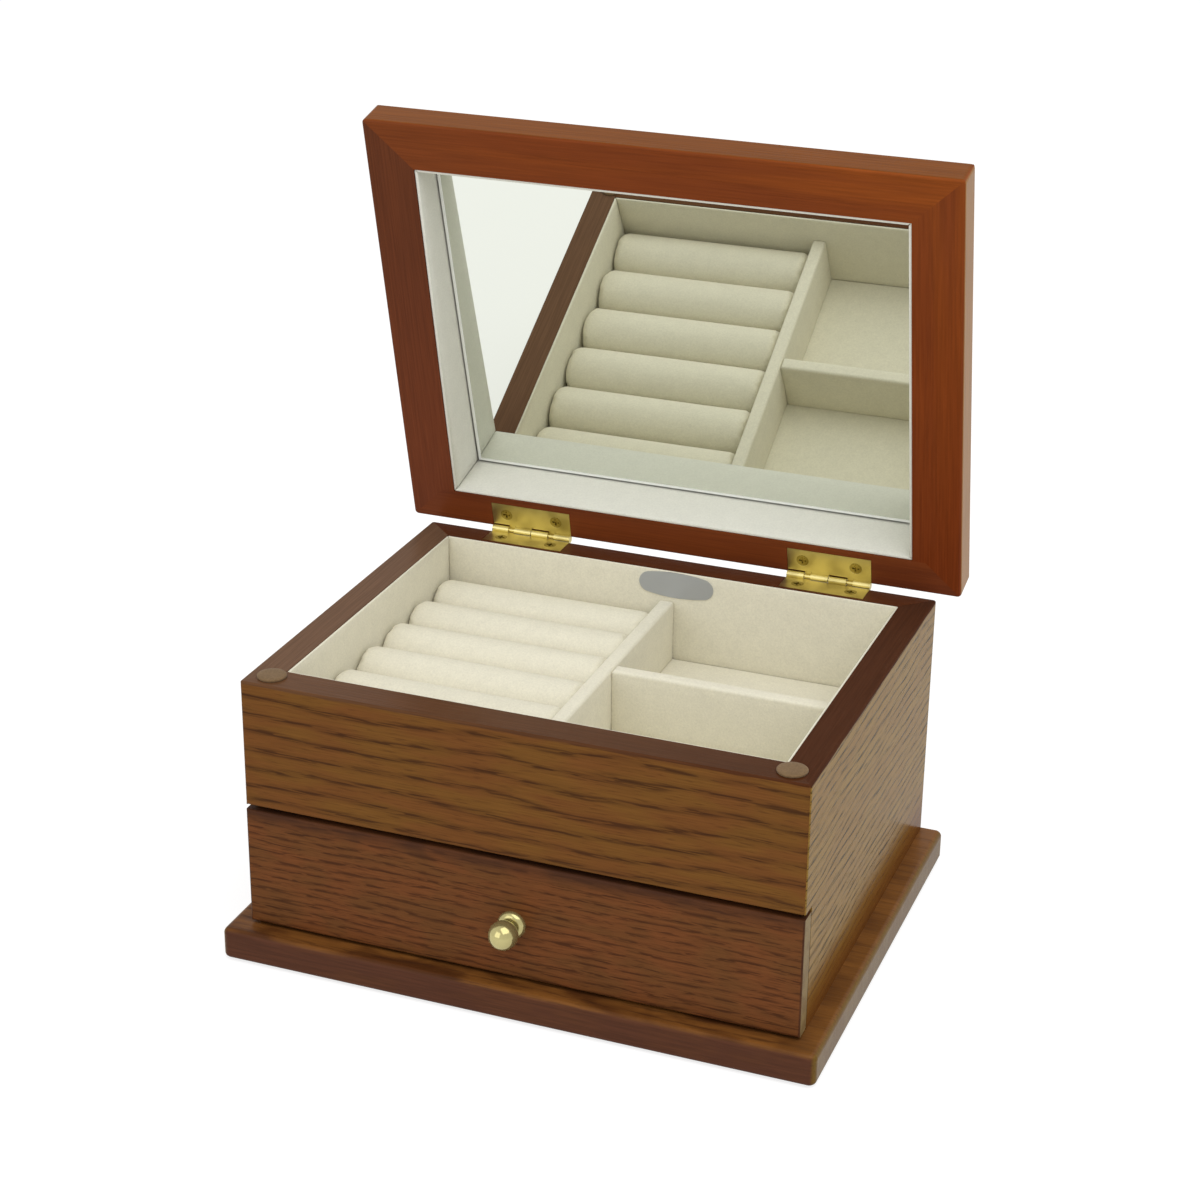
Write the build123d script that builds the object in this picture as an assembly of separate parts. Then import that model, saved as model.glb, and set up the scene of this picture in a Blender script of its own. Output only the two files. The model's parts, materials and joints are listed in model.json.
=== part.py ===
from build123d import *
import math
import os

# A wooden jewelry box: a mitred case on a plinth, one drawer below a lined tray, and a deep
# mirrored lid on two brass butt hinges. Millimetres. +X is right, -Y is the front, +Z is up.
# The origin is on the table, under the middle of the case. The lid stands open at rest.

# Case
case_width = 200.0
case_depth = 156.0
side_thickness = 11.2
back_thickness = 10.7
front_thickness = 12.5
upper_front_height = 46.8
case_corner_round = 1.2
rim_round = 0.7
front_lip_round = 1.0

# Plinth and base
base_felt_thickness = 0.8
base_felt_inset = 5.0
plinth_thickness = 11.6
plinth_side_overhang = 7.8
plinth_front_overhang = 7.5
plinth_corner_round = 2.6
plinth_top_round = 2.2
plinth_bottom_round = 1.6
plinth_screw_spacing = 100.0
plinth_screw_head = 7.0
plinth_screw_shank = 3.6
plinth_screw_length = 26.0
plinth_slot_width = 1.1
plinth_slot_length = 4.2
plinth_slot_depth = 1.2

# Tray
floor_board_thickness = 6.0
floor_board_rise = 4.6
floor_board_groove = 3.0
floor_felt_thickness = 0.8
lining_thickness = 1.2
lining_drop = 0.2
divider_thickness = 5.9
divider_height = 23.7
divider_round = 0.9
long_divider_x = 1.0
cross_divider_y = 3.0
roll_count = 6
roll_end_chamfer = 1.8
roll_gap = 0.3
bumper_diameter = 10.2
bumper_thickness = 1.0
bumper_inset_x = 8.5
bumper_inset_y = 7.3
bumper_chamfer = 0.3
label_width = 29.0
label_height = 10.0
label_end_height = 7.8
label_end_reach = 3.2
label_thickness = 0.3
label_x = 4.4
label_drop = 5.1

# Drawer
drawer_face_height = 43.8
drawer_face_thickness = 7.0
drawer_face_round = 0.9
drawer_face_foot_gap = 1.0
drawer_reveal = 1.8
drawer_face_back_gap = 0.5
drawer_side_thickness = 6.0
drawer_back_thickness = 6.0
drawer_top_drop = 3.0
drawer_side_gap = 0.6
drawer_run_gap = 0.3
drawer_rear_gap = 2.5
drawer_bottom_thickness = 3.0
drawer_bottom_rise = 1.8
drawer_groove = 2.5
drawer_lining_thickness = 1.0
drawer_lining_drop = 1.0
knob_x = -1.0
knob_rise = 20.3
knob_flange_diameter = 10.0
knob_flange_edge = 0.8
knob_dome_height = 2.4
knob_dome_bulge = 0.7
knob_neck_diameter = 4.2
knob_ball_diameter = 10.2
knob_reach = 7.7
knob_screw_diameter = 3.0
knob_screw_head = 5.6
knob_screw_head_depth = 1.8
knob_screw_grip = 5.0

# Lid
lid_side_overhang = 8.4
lid_front_overhang = 9.9
lid_back_overhang = 1.1
lid_edge_height = 12.0
lid_bevel_height = 11.2
lid_bevel_width = 8.4
lid_corner_round = 1.6
lid_arris_round = 1.0
lid_front_rail_width = 17.6
lid_stile_width = 18.1
lid_hinge_rail_width = 13.25
lid_panel_thickness = 3.4
lid_panel_inset = 9.8
lid_panel_round = 1.6
lid_lining_thickness = 1.4
lid_lining_drop = 0.4
mirror_thickness = 2.4
mirror_bevel = 0.4
mirror_gap = 0.5
mirror_lean_angle = 3.0
backing_thin_edge = 0.6
lid_open_angle = 76.9

# Hinges
hinge_length = 31.8
hinge_inset = 41.0
leaf_width = 11.0
leaf_thickness = 0.8
barrel_diameter = 2.9
pin_diameter = 1.4
bare_pin_length = 2.6
middle_knuckle_length = 6.8
knuckle_end_gap = 0.15
knuckle_notch_gap = 0.35
hinge_screw_spacing = 20.2
hinge_screw_setback = 6.4
hinge_screw_head = 4.6
hinge_screw_shank = 2.0
hinge_screw_length = 8.0
hinge_slot_width = 0.7
hinge_slot_length = 2.8
hinge_slot_depth = 0.8

# Screw heads
countersink_angle = 90.0

# Clearances
seat_gap = 0.1
screw_gap = 0.05
pin_gap = 0.05
lid_rest_gap = 0.3
mitre_spare = 0.5

# Heights of the levels
plinth_bottom = base_felt_thickness
plinth_top = plinth_bottom + plinth_thickness
drawer_face_bottom = plinth_top + drawer_face_foot_gap
drawer_face_top = drawer_face_bottom + drawer_face_height
upper_front_bottom = drawer_face_top + drawer_reveal
rim = upper_front_bottom + upper_front_height
floor_board_bottom = upper_front_bottom + floor_board_rise
floor_board_top = floor_board_bottom + floor_board_thickness
tray_floor = floor_board_top + floor_felt_thickness
lining_top = rim - lining_drop
closed_gap = bumper_thickness + lid_rest_gap
lid_face = rim + closed_gap
lid_frame_top = lid_face + lid_edge_height + lid_bevel_height
mirror_face = lid_frame_top - backing_thin_edge - mirror_thickness

# Limits of the case and the tray
half_width = case_width / 2
case_front = -case_depth / 2
case_back = case_depth / 2
inner_side = half_width - side_thickness
inner_front = case_front + front_thickness
inner_back = case_back - back_thickness
tray_side = inner_side - lining_thickness
tray_front = inner_front + lining_thickness
tray_back = inner_back - lining_thickness

# Limits of the lid when it is shut
lid_half_width = half_width + lid_side_overhang
lid_front = case_front - lid_front_overhang
lid_back = case_back + lid_back_overhang
recess_side = lid_half_width - lid_stile_width
recess_front = lid_front + lid_front_rail_width
recess_back = lid_back - lid_hinge_rail_width
mirror_side = recess_side - lid_lining_thickness - mirror_gap
mirror_front = recess_front + lid_lining_thickness + mirror_gap
mirror_back = recess_back - lid_lining_thickness - mirror_gap
mirror_axis = Axis((0, mirror_back, mirror_face), (1, 0, 0))

# Hinge axis, midway in the gap under the shut lid
barrel_radius = barrel_diameter / 2
hinge_y = case_back + barrel_radius
hinge_z = rim + closed_gap / 2
hinge_axis = Axis((0, hinge_y, hinge_z), (1, 0, 0))


def slab(x_limits, y_limits, z_limits):
    """Box between pairs of limits."""
    size = [high - low for low, high in (x_limits, y_limits, z_limits)]
    corner = (x_limits[0], y_limits[0], z_limits[0])
    return Pos(*corner) * Box(*size, align=(Align.MIN, Align.MIN, Align.MIN))


def prism(points, z_limits):
    """Upright prism on a closed outline."""
    outline = make_face(Polyline(*points, close=True))
    return Pos(0, 0, z_limits[0]) * extrude(outline, z_limits[1] - z_limits[0])


def rounded_block(x_limits, y_limits, z_limits, radius):
    """Upright block with rounded corners."""
    width = x_limits[1] - x_limits[0]
    depth = y_limits[1] - y_limits[0]
    middle = Pos(sum(x_limits) / 2, sum(y_limits) / 2, z_limits[0])
    return middle * extrude(RectangleRounded(width, depth, radius), z_limits[1] - z_limits[0])


def top_edges(shape):
    """Edges round the top face."""
    return shape.faces().sort_by(Axis.Z)[-1].edges()


def bottom_edges(shape):
    """Edges round the bottom face."""
    return shape.faces().sort_by(Axis.Z)[0].edges()


def mitre_wedge(outer_y, outer_side, inner_y, inner_side_limit, z_limits):
    """Prism that cuts the front or back board out of a mitred ring of four boards."""
    step_x = (outer_side - inner_side_limit) * mitre_spare
    step_y = (outer_y - inner_y) * mitre_spare
    outside = (outer_side + step_x, outer_y + step_y)
    inside = (inner_side_limit - step_x, inner_y - step_y)
    points = [(-outside[0], outside[1]), outside, inside, (-inside[0], inside[1])]
    return prism(points, z_limits)


def four_boards(ring, front_wedge, back_wedge):
    """Front, back, left and right boards of a ring."""
    rest = (ring - front_wedge - back_wedge).solids().sort_by(Axis.X)
    return ring & front_wedge, ring & back_wedge, rest[0], rest[-1]


def mitred_lining(side, front, back, thickness, z_limits):
    """Four thin lining strips, mitred where they meet, inside a rectangular well."""
    hollow_side = side - thickness
    hollow_front = front + thickness
    hollow_back = back - thickness
    ring = slab((-side, side), (front, back), z_limits)
    ring -= slab((-hollow_side, hollow_side), (hollow_front, hollow_back), z_limits)
    front_wedge = mitre_wedge(front, side, hollow_front, hollow_side, z_limits)
    back_wedge = mitre_wedge(back, side, hollow_back, hollow_side, z_limits)
    return four_boards(ring, front_wedge, back_wedge)


def countersunk_screw(head, shank, length, gap=0.0):
    """Countersunk screw with a point, its head's top at zero and its point down.

    A gap makes it the cutter for its own hole.
    """
    head_radius = head / 2 + gap
    shank_radius = shank / 2 + gap
    head_depth = (head_radius - shank_radius) / math.tan(math.radians(countersink_angle / 2))
    tip = -(length + gap)
    outline = Polyline(
        (0, 0),
        (head_radius, 0),
        (shank_radius, -head_depth),
        (shank_radius, tip + shank),
        (0, tip),
        close=True,
    )
    return revolve(Plane.XZ * make_face(outline), Axis.Z)


def slotted_screw(head, shank, length, slot_length, slot_width, slot_depth):
    """Countersunk screw with a cross recess in its head."""
    screw = countersunk_screw(head, shank, length)
    slot = Box(slot_length, slot_width, 2 * slot_depth)
    return screw - slot - Rot(0, 0, 90) * slot


def opened(shape):
    """A lid piece swung from the shut lid to where the lid stands at rest."""
    return shape.rotate(hinge_axis, -lid_open_angle)


# Places of the screws

def plinth_screw_places():
    """Screws that come up through the plinth into the side panels, point up."""
    x = half_width - side_thickness / 2
    y = plinth_screw_spacing / 2
    corners = [(-x, -y), (x, -y), (-x, y), (x, y)]
    return [Pos(*corner, plinth_bottom) * Rot(180, 0, 0) for corner in corners]


def hinge_centres():
    """Middles of the two hinges along the hinge line."""
    x = half_width - hinge_inset
    return [-x, x]


def leaf_face(side):
    """Level of the screwed face of a leaf: side is -1 on the rim and 1 on the lid."""
    return hinge_z + side * (barrel_radius - leaf_thickness)


def hinge_screw_places(side):
    """Screws of both leaves on one side, heads towards the gap under the lid."""
    turn = Rot(0, 0, 0) if side < 0 else Rot(180, 0, 0)
    y = hinge_y - hinge_screw_setback
    offsets = [-hinge_screw_spacing / 2, hinge_screw_spacing / 2]
    return [Pos(x + dx, y, leaf_face(side)) * turn for x in hinge_centres() for dx in offsets]


def hinge_screw_holes(side):
    """Cutters for the screws of one side."""
    cutter = countersunk_screw(hinge_screw_head, hinge_screw_shank, hinge_screw_length, screw_gap)
    return [place * cutter for place in hinge_screw_places(side)]


def leaf_mortises(side):
    """Shallow beds for the leaves of one side, open at the back."""
    depth_level = hinge_z + side * barrel_radius
    levels = sorted((depth_level, hinge_z))
    y_limits = (hinge_y - leaf_width - seat_gap, hinge_y)
    reach = hinge_length / 2 + seat_gap
    return [slab((x - reach, x + reach), y_limits, levels) for x in hinge_centres()]


# Base

def make_plinth():
    """Base board with a rounded edge, wider than the case at the front and sides."""
    side = half_width + plinth_side_overhang
    front = case_front - plinth_front_overhang
    board = slab((-side, side), (front, case_back), (plinth_bottom, plinth_top))
    corners = board.edges().filter_by(Axis.Z).sort_by(Axis.Y)[:2]
    board = fillet(corners, plinth_corner_round)
    board = fillet(top_edges(board).sort_by(Axis.Y)[:-1], plinth_top_round)
    board = fillet(bottom_edges(board).sort_by(Axis.Y)[:-1], plinth_bottom_round)
    cutter = countersunk_screw(plinth_screw_head, plinth_screw_shank, plinth_screw_length, screw_gap)
    return board - [place * cutter for place in plinth_screw_places()]


def make_base_felt():
    """Felt sheet under the plinth."""
    side = half_width + plinth_side_overhang - base_felt_inset
    front = case_front - plinth_front_overhang + base_felt_inset
    back = case_back - base_felt_inset
    return slab((-side, side), (front, back), (0, base_felt_thickness))


def make_plinth_screws():
    """Screws that hold the plinth to the side panels."""
    size = (plinth_screw_head, plinth_screw_shank, plinth_screw_length)
    screw = slotted_screw(*size, plinth_slot_length, plinth_slot_width, plinth_slot_depth)
    return [place * screw for place in plinth_screw_places()]


# Case

def floor_board(gap):
    """Board under the tray, let into grooves round the case."""
    reach = floor_board_groove - gap
    x_limits = (-inner_side - reach, inner_side + reach)
    y_limits = (inner_front - reach, inner_back + reach)
    return slab(x_limits, y_limits, (floor_board_bottom + gap, floor_board_top))


def make_case():
    """Upper front, back, left side and right side of the mitred case."""
    height = (plinth_top, rim)
    outside = rounded_block((-half_width, half_width), (case_front, case_back), height, case_corner_round)
    outside = fillet(top_edges(outside), rim_round)
    ring = outside - slab((-inner_side, inner_side), (inner_front, inner_back), height)
    ring -= floor_board(0)
    low = (plinth_top, upper_front_bottom)
    ring -= slab((-half_width, half_width), (case_front, case_front + drawer_face_thickness
                                             + drawer_face_back_gap), low)
    ring -= slab((-inner_side, inner_side), (case_front, inner_front), low)
    cutter = countersunk_screw(plinth_screw_head, plinth_screw_shank, plinth_screw_length, screw_gap)
    ring -= [place * cutter for place in plinth_screw_places()]
    ring -= leaf_mortises(-1)
    ring -= hinge_screw_holes(-1)
    high = (upper_front_bottom, rim)
    front_wedge = mitre_wedge(case_front, half_width, inner_front, inner_side, high)
    back_wedge = mitre_wedge(case_back, half_width, inner_back, inner_side, height)
    front, back, left, right = four_boards(ring, front_wedge, back_wedge)
    lip = front.edges().filter_by(Axis.X).group_by(Axis.Z)[0].sort_by(Axis.Y)[0]
    return fillet(lip, front_lip_round), back, left, right


# Tray

def make_tray_lining():
    """Front, back, left and right wall linings of the tray."""
    return mitred_lining(inner_side, inner_front, inner_back, lining_thickness, (floor_board_top, lining_top))


def make_tray_floor_felt():
    """Covering of the tray's floor, between the wall linings."""
    return slab((-tray_side, tray_side), (tray_front, tray_back), (floor_board_top, tray_floor))


def make_long_divider():
    """Covered divider from the front of the tray to the back, its end clear of the label."""
    x_limits = (long_divider_x - divider_thickness / 2, long_divider_x + divider_thickness / 2)
    end = tray_back - label_thickness - seat_gap
    board = slab(x_limits, (tray_front, end), (tray_floor, tray_floor + divider_height))
    return fillet(top_edges(board).filter_by(Axis.Y), divider_round)


def make_cross_divider():
    """Covered divider from the long divider to the right wall."""
    y_limits = (cross_divider_y - divider_thickness / 2, cross_divider_y + divider_thickness / 2)
    x_limits = (long_divider_x + divider_thickness / 2, tray_side)
    board = slab(x_limits, y_limits, (tray_floor, tray_floor + divider_height))
    return fillet(top_edges(board).filter_by(Axis.X), divider_round)


def make_ring_rolls():
    """Padded ring rolls side by side, filling the left bay from the back to the front."""
    pitch = (tray_back - tray_front) / roll_count
    radius = (pitch - roll_gap) / 2
    left = -tray_side + roll_gap
    right = long_divider_x - divider_thickness / 2 - roll_gap
    roll = Rot(0, 90, 0) * Cylinder(radius, right - left)
    roll = chamfer(roll.edges().filter_by(GeomType.CIRCLE), roll_end_chamfer)
    middle = (left + right) / 2
    level = tray_floor + roll_gap + radius
    return [Pos(middle, tray_back - pitch * (row + 0.5), level) * roll for row in range(roll_count)]


def make_bumper_pads():
    """Felt discs on the front corners of the rim, under the shut lid."""
    pad = Cylinder(bumper_diameter / 2, bumper_thickness, align=(Align.CENTER, Align.CENTER, Align.MIN))
    pad = chamfer(top_edges(pad), bumper_chamfer)
    x = half_width - bumper_inset_x
    return [Pos(sign * x, case_front + bumper_inset_y, rim) * pad for sign in (-1, 1)]


def make_label():
    """Blank barrel-shaped plate on the back wall lining: two long bows and two round ends."""
    x = label_width / 2 - label_end_reach
    z = label_end_height / 2
    corners = [(-x, z), (x, z), (x, -z), (-x, -z)]
    crests = [(0, label_height / 2), (label_width / 2, 0), (0, -label_height / 2), (-label_width / 2, 0)]
    ends = corners[1:] + corners[:1]
    border = [ThreePointArc(start, crest, end) for start, crest, end in zip(corners, crests, ends)]
    plate = extrude(make_face(border), label_thickness)
    return Pos(label_x, tray_back, lining_top - label_drop) * Rot(90, 0, 0) * plate


# Drawer

drawer_side = inner_side - drawer_side_gap
drawer_face_back = case_front + drawer_face_thickness
drawer_back = inner_back - drawer_rear_gap
drawer_foot = plinth_top + drawer_run_gap
drawer_top = drawer_face_top - drawer_top_drop
drawer_inner_side = drawer_side - drawer_side_thickness
drawer_inner_back = drawer_back - drawer_back_thickness
drawer_bottom_level = drawer_foot + drawer_bottom_rise
drawer_floor = drawer_bottom_level + drawer_bottom_thickness
knob_z = drawer_face_bottom + knob_rise


def drawer_bottom(gap):
    """Thin board let into grooves in the drawer's sides and front, under its back."""
    reach = drawer_inner_side + drawer_groove - gap
    front = drawer_face_back - drawer_groove + gap
    return slab((-reach, reach), (front, drawer_back), (drawer_bottom_level, drawer_floor))


def knob_screw(gap):
    """Machine screw from inside the drawer front into the knob, its head let in flush."""
    head_radius = knob_screw_head / 2 + gap
    radius = knob_screw_diameter / 2 + gap
    reach = drawer_face_thickness + knob_screw_grip + gap
    head_depth = knob_screw_head_depth + gap
    shank = Cylinder(radius, reach, align=(Align.CENTER, Align.CENTER, Align.MIN))
    head = Cylinder(head_radius, head_depth, align=(Align.CENTER, Align.CENTER, Align.MIN))
    return Pos(knob_x, drawer_face_back, knob_z) * Rot(90, 0, 0) * (shank + head)


def make_drawer_front():
    """Drawer front as wide as the case, with a softened front edge."""
    height = (drawer_face_bottom, drawer_face_top)
    face = slab((-half_width, half_width), (case_front, drawer_face_back), height)
    face = fillet(face.faces().sort_by(Axis.Y)[0].edges(), drawer_face_round)
    return face - drawer_bottom(0) - knob_screw(screw_gap)


def make_drawer_sides():
    """Left and right drawer sides, grooved for the bottom."""
    y_limits = (drawer_face_back, drawer_back)
    left = slab((-drawer_side, -drawer_inner_side), y_limits, (drawer_foot, drawer_top))
    right = slab((drawer_inner_side, drawer_side), y_limits, (drawer_foot, drawer_top))
    return left - drawer_bottom(0), right - drawer_bottom(0)


def make_drawer_back():
    """Drawer back between the sides, on the bottom board."""
    y_limits = (drawer_inner_back, drawer_back)
    return slab((-drawer_inner_side, drawer_inner_side), y_limits, (drawer_floor, drawer_top))


def make_drawer_floor_felt():
    """Covering of the drawer's bottom."""
    side = drawer_inner_side - drawer_lining_thickness
    y_limits = (drawer_face_back + drawer_lining_thickness, drawer_inner_back - drawer_lining_thickness)
    return slab((-side, side), y_limits, (drawer_floor, drawer_floor + floor_felt_thickness))


def make_drawer_lining():
    """Front, back, left and right wall linings of the drawer."""
    height = (drawer_floor, drawer_top - drawer_lining_drop)
    return mitred_lining(drawer_inner_side, drawer_face_back, drawer_inner_back, drawer_lining_thickness, height)


def make_knob():
    """Turned brass knob: domed flange, neck and ball, on an axis along the depth of the box."""
    flange = knob_flange_diameter / 2
    neck = knob_neck_diameter / 2
    ball = knob_ball_diameter / 2
    ball_foot = knob_reach - math.sqrt(ball**2 - neck**2)
    dome_foot = Vector(flange, knob_flange_edge)
    dome_top = Vector(neck, knob_dome_height)
    slope = dome_top - dome_foot
    dome_middle = (dome_foot + dome_top) / 2 + Vector(slope.Y, -slope.X).normalized() * knob_dome_bulge
    outline = [
        Polyline((0, 0), (flange, 0), dome_foot),
        ThreePointArc(dome_foot, dome_middle, dome_top),
        Line(dome_top, (neck, ball_foot)),
        ThreePointArc((neck, ball_foot), (ball, knob_reach), (0, knob_reach + ball)),
        Line((0, knob_reach + ball), (0, 0)),
    ]
    turned = revolve(make_face(outline), Axis.Y)
    return Pos(knob_x, case_front, knob_z) * Rot(180, 0, 0) * turned - knob_screw(screw_gap)


# Hinges

def knuckle_spans(side):
    """Stretches along a hinge, from its left end, where one leaf is rolled round the pin."""
    end = (hinge_length - 2 * bare_pin_length - 2 * middle_knuckle_length) / 2
    middle = hinge_length / 2
    if side < 0:
        return [(0, end), (middle + knuckle_end_gap, middle + middle_knuckle_length)]
    return [(middle - middle_knuckle_length, middle - knuckle_end_gap), (hinge_length - end, hinge_length)]


def bare_spans():
    """Stretches along a hinge, from its left end, where no leaf is rolled round the pin."""
    end = (hinge_length - 2 * bare_pin_length - 2 * middle_knuckle_length) / 2
    starts = (end, hinge_length - end - bare_pin_length)
    return [(start + knuckle_end_gap, start + bare_pin_length - knuckle_end_gap) for start in starts]


def make_leaf(centre, side):
    """Hinge leaf: a countersunk plate whose edge is rolled into knuckles round the pin."""
    left = centre - hinge_length / 2
    right = centre + hinge_length / 2
    levels = sorted((hinge_z + side * barrel_radius, leaf_face(side)))
    notch_edge = hinge_y - barrel_radius - knuckle_notch_gap
    leaf = slab((left, right), (hinge_y - leaf_width, notch_edge), levels)
    for start, end in knuckle_spans(side):
        leaf += slab((left + start, left + end), (notch_edge, hinge_y), levels)
        middle = Pos(left + (start + end) / 2, hinge_y, hinge_z)
        leaf += middle * Rot(0, 90, 0) * Cylinder(barrel_radius, end - start)
    for start, end in bare_spans():
        leaf += slab((left + start, left + end), (notch_edge, hinge_y), levels)
    bore = Pos(centre, hinge_y, hinge_z) * Rot(0, 90, 0) * Cylinder(pin_diameter / 2 + pin_gap, hinge_length)
    return leaf - bore - hinge_screw_holes(side)


def make_pin(centre):
    """Hinge pin through all the knuckles of one hinge."""
    return Pos(centre, hinge_y, hinge_z) * Rot(0, 90, 0) * Cylinder(pin_diameter / 2, hinge_length)


def make_hinge_screws(side):
    """Screws of both leaves on one side."""
    size = (hinge_screw_head, hinge_screw_shank, hinge_screw_length)
    screw = slotted_screw(*size, hinge_slot_length, hinge_slot_width, hinge_slot_depth)
    return [place * screw for place in hinge_screw_places(side)]


# Lid, modelled shut

def make_lid_frame():
    """Front rail, hinge rail, left stile and right stile, mitred and bevelled on the outside."""
    x_limits = (-lid_half_width, lid_half_width)
    y_limits = (lid_front, lid_back)
    edge_top = lid_face + lid_edge_height
    block = slab(x_limits, y_limits, (lid_face, edge_top))
    taper = math.degrees(math.atan(lid_bevel_width / lid_bevel_height))
    foot = Pos(0, (lid_front + lid_back) / 2, edge_top) * Rectangle(2 * lid_half_width, lid_back - lid_front)
    block += extrude(foot, lid_bevel_height, taper=taper)
    block &= rounded_block(x_limits, y_limits, (lid_face, lid_frame_top), lid_corner_round)
    block = fillet(bottom_edges(block), lid_arris_round)
    height = (lid_face, lid_frame_top)
    block -= slab((-recess_side, recess_side), (recess_front, recess_back), height)
    block -= leaf_mortises(1)
    block -= hinge_screw_holes(1)
    front_wedge = mitre_wedge(lid_front, lid_half_width, recess_front, recess_side, height)
    spare = lid_hinge_rail_width * mitre_spare
    rail_end = lid_half_width - lid_hinge_rail_width
    rail_points = [
        (-lid_half_width - spare, lid_back + spare),
        (lid_half_width + spare, lid_back + spare),
        (rail_end, recess_back),
        (-rail_end, recess_back),
    ]
    return four_boards(block, front_wedge, prism(rail_points, height))


def make_lid_panel():
    """Top panel over the mirror, laid on the frame, with a rounded edge."""
    side = lid_half_width - lid_panel_inset
    y_limits = (lid_front + lid_panel_inset, lid_back - lid_panel_inset)
    panel = slab((-side, side), y_limits, (lid_frame_top, lid_frame_top + lid_panel_thickness))
    panel = fillet(panel.edges().filter_by(Axis.Z), lid_panel_round)
    return fillet(top_edges(panel), lid_panel_round)


def tipped(shape):
    """A piece tipped about the mirror's hinge edge, so that the mirror looks down at the tray."""
    return shape.rotate(mirror_axis, mirror_lean_angle)


def make_mirror():
    """Mirror in the lid's recess, inside the linings, with a ground bevel round its face."""
    limits = ((-mirror_side, mirror_side), (mirror_front, mirror_back))
    glass = slab(*limits, (mirror_face, mirror_face + mirror_thickness))
    return tipped(chamfer(bottom_edges(glass), mirror_bevel))


def make_mirror_backing():
    """Wedge of board between the mirror and the top panel, which gives the mirror its lean."""
    board = slab((-mirror_side, mirror_side), (mirror_front, mirror_back), (lid_face, lid_frame_top))
    reach = lid_frame_top - lid_face
    x_limits = (-mirror_side - reach, mirror_side + reach)
    y_limits = (mirror_front - reach, mirror_back + reach)
    return board - tipped(slab(x_limits, y_limits, (lid_face - reach, mirror_face + mirror_thickness)))


def make_lid_lining():
    """Lining strips round the recess, from the frame's face to the top panel."""
    height = (lid_face + lid_lining_drop, lid_frame_top)
    return mitred_lining(recess_side, recess_front, recess_back, lid_lining_thickness, height)


# Assembly

parts = {
    "base_felt": make_base_felt(),
    "plinth": make_plinth(),
    "plinth_screws": make_plinth_screws(),
    "tray_floor_board": floor_board(seat_gap),
    "tray_floor_felt": make_tray_floor_felt(),
    "long_divider": make_long_divider(),
    "cross_divider": make_cross_divider(),
    "bumper_pads": make_bumper_pads(),
    "label_plate": make_label(),
    "hinge_screws_rim": make_hinge_screws(-1),
    "drawer_front": make_drawer_front(),
    "drawer_back": make_drawer_back(),
    "drawer_bottom": drawer_bottom(seat_gap),
    "drawer_floor_felt": make_drawer_floor_felt(),
    "drawer_knob": make_knob(),
    "knob_screw": knob_screw(0),
    "lid_top_panel": opened(make_lid_panel()),
    "mirror": opened(make_mirror()),
    "mirror_backing": opened(make_mirror_backing()),
    "hinge_screws_lid": [opened(screw) for screw in make_hinge_screws(1)],
}

case_names = ("upper_front_panel", "back_panel", "side_panel_left", "side_panel_right")
parts.update(zip(case_names, make_case()))

sides = ("front", "back", "left", "right")
for side, tray_strip, drawer_strip, lid_strip in zip(
    sides, make_tray_lining(), make_drawer_lining(), make_lid_lining()
):
    parts[f"tray_lining_{side}"] = tray_strip
    parts[f"drawer_lining_{side}"] = drawer_strip
    parts[f"lid_lining_{side}"] = opened(lid_strip)

parts["drawer_side_left"], parts["drawer_side_right"] = make_drawer_sides()

frame_names = ("lid_front_rail", "lid_hinge_rail", "lid_stile_left", "lid_stile_right")
for name, board in zip(frame_names, make_lid_frame()):
    parts[name] = opened(board)

for number, roll in enumerate(make_ring_rolls(), start=1):
    parts[f"ring_roll_{number}"] = roll

for hand, centre in zip(("left", "right"), hinge_centres()):
    parts[f"hinge_leaf_rim_{hand}"] = make_leaf(centre, -1)
    parts[f"hinge_leaf_lid_{hand}"] = opened(make_leaf(centre, 1))
    parts[f"hinge_pin_{hand}"] = make_pin(centre)

os.makedirs("parts", exist_ok=True)
for name, shape in parts.items():
    solid = Compound(children=shape) if isinstance(shape, list) else shape
    export_step(solid, f"parts/{name}.step")
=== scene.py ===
"""Looks of a wooden jewelry box: stained veneer, lacquered lid, brass, mirror glass and suede.

The file is laid out as an add-on and run as a script. Lengths are metres, in the frame of the solids.
"""

import json
import math
from functools import partial

import bmesh
import bpy
from bpy.props import FloatProperty, FloatVectorProperty, PointerProperty
from mathutils import Matrix, Vector


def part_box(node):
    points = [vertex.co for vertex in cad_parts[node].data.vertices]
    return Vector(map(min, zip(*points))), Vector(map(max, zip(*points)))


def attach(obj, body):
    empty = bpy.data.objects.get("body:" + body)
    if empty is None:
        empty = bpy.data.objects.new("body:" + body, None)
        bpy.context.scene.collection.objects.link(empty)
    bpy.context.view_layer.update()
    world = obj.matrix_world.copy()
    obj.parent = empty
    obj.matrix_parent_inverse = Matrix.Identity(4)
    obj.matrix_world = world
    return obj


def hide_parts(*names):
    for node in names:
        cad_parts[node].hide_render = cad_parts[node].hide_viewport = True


bl_info = {
    "name": "Jewelry Box Looks",
    "version": (1, 0, 0),
    "blender": (4, 5, 0),
    "location": "View3D > Sidebar > Jewelry Box",
    "description": "Dresses a jewelry box in stained veneer, brass, mirror glass and suede",
    "category": "Object",
}

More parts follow.
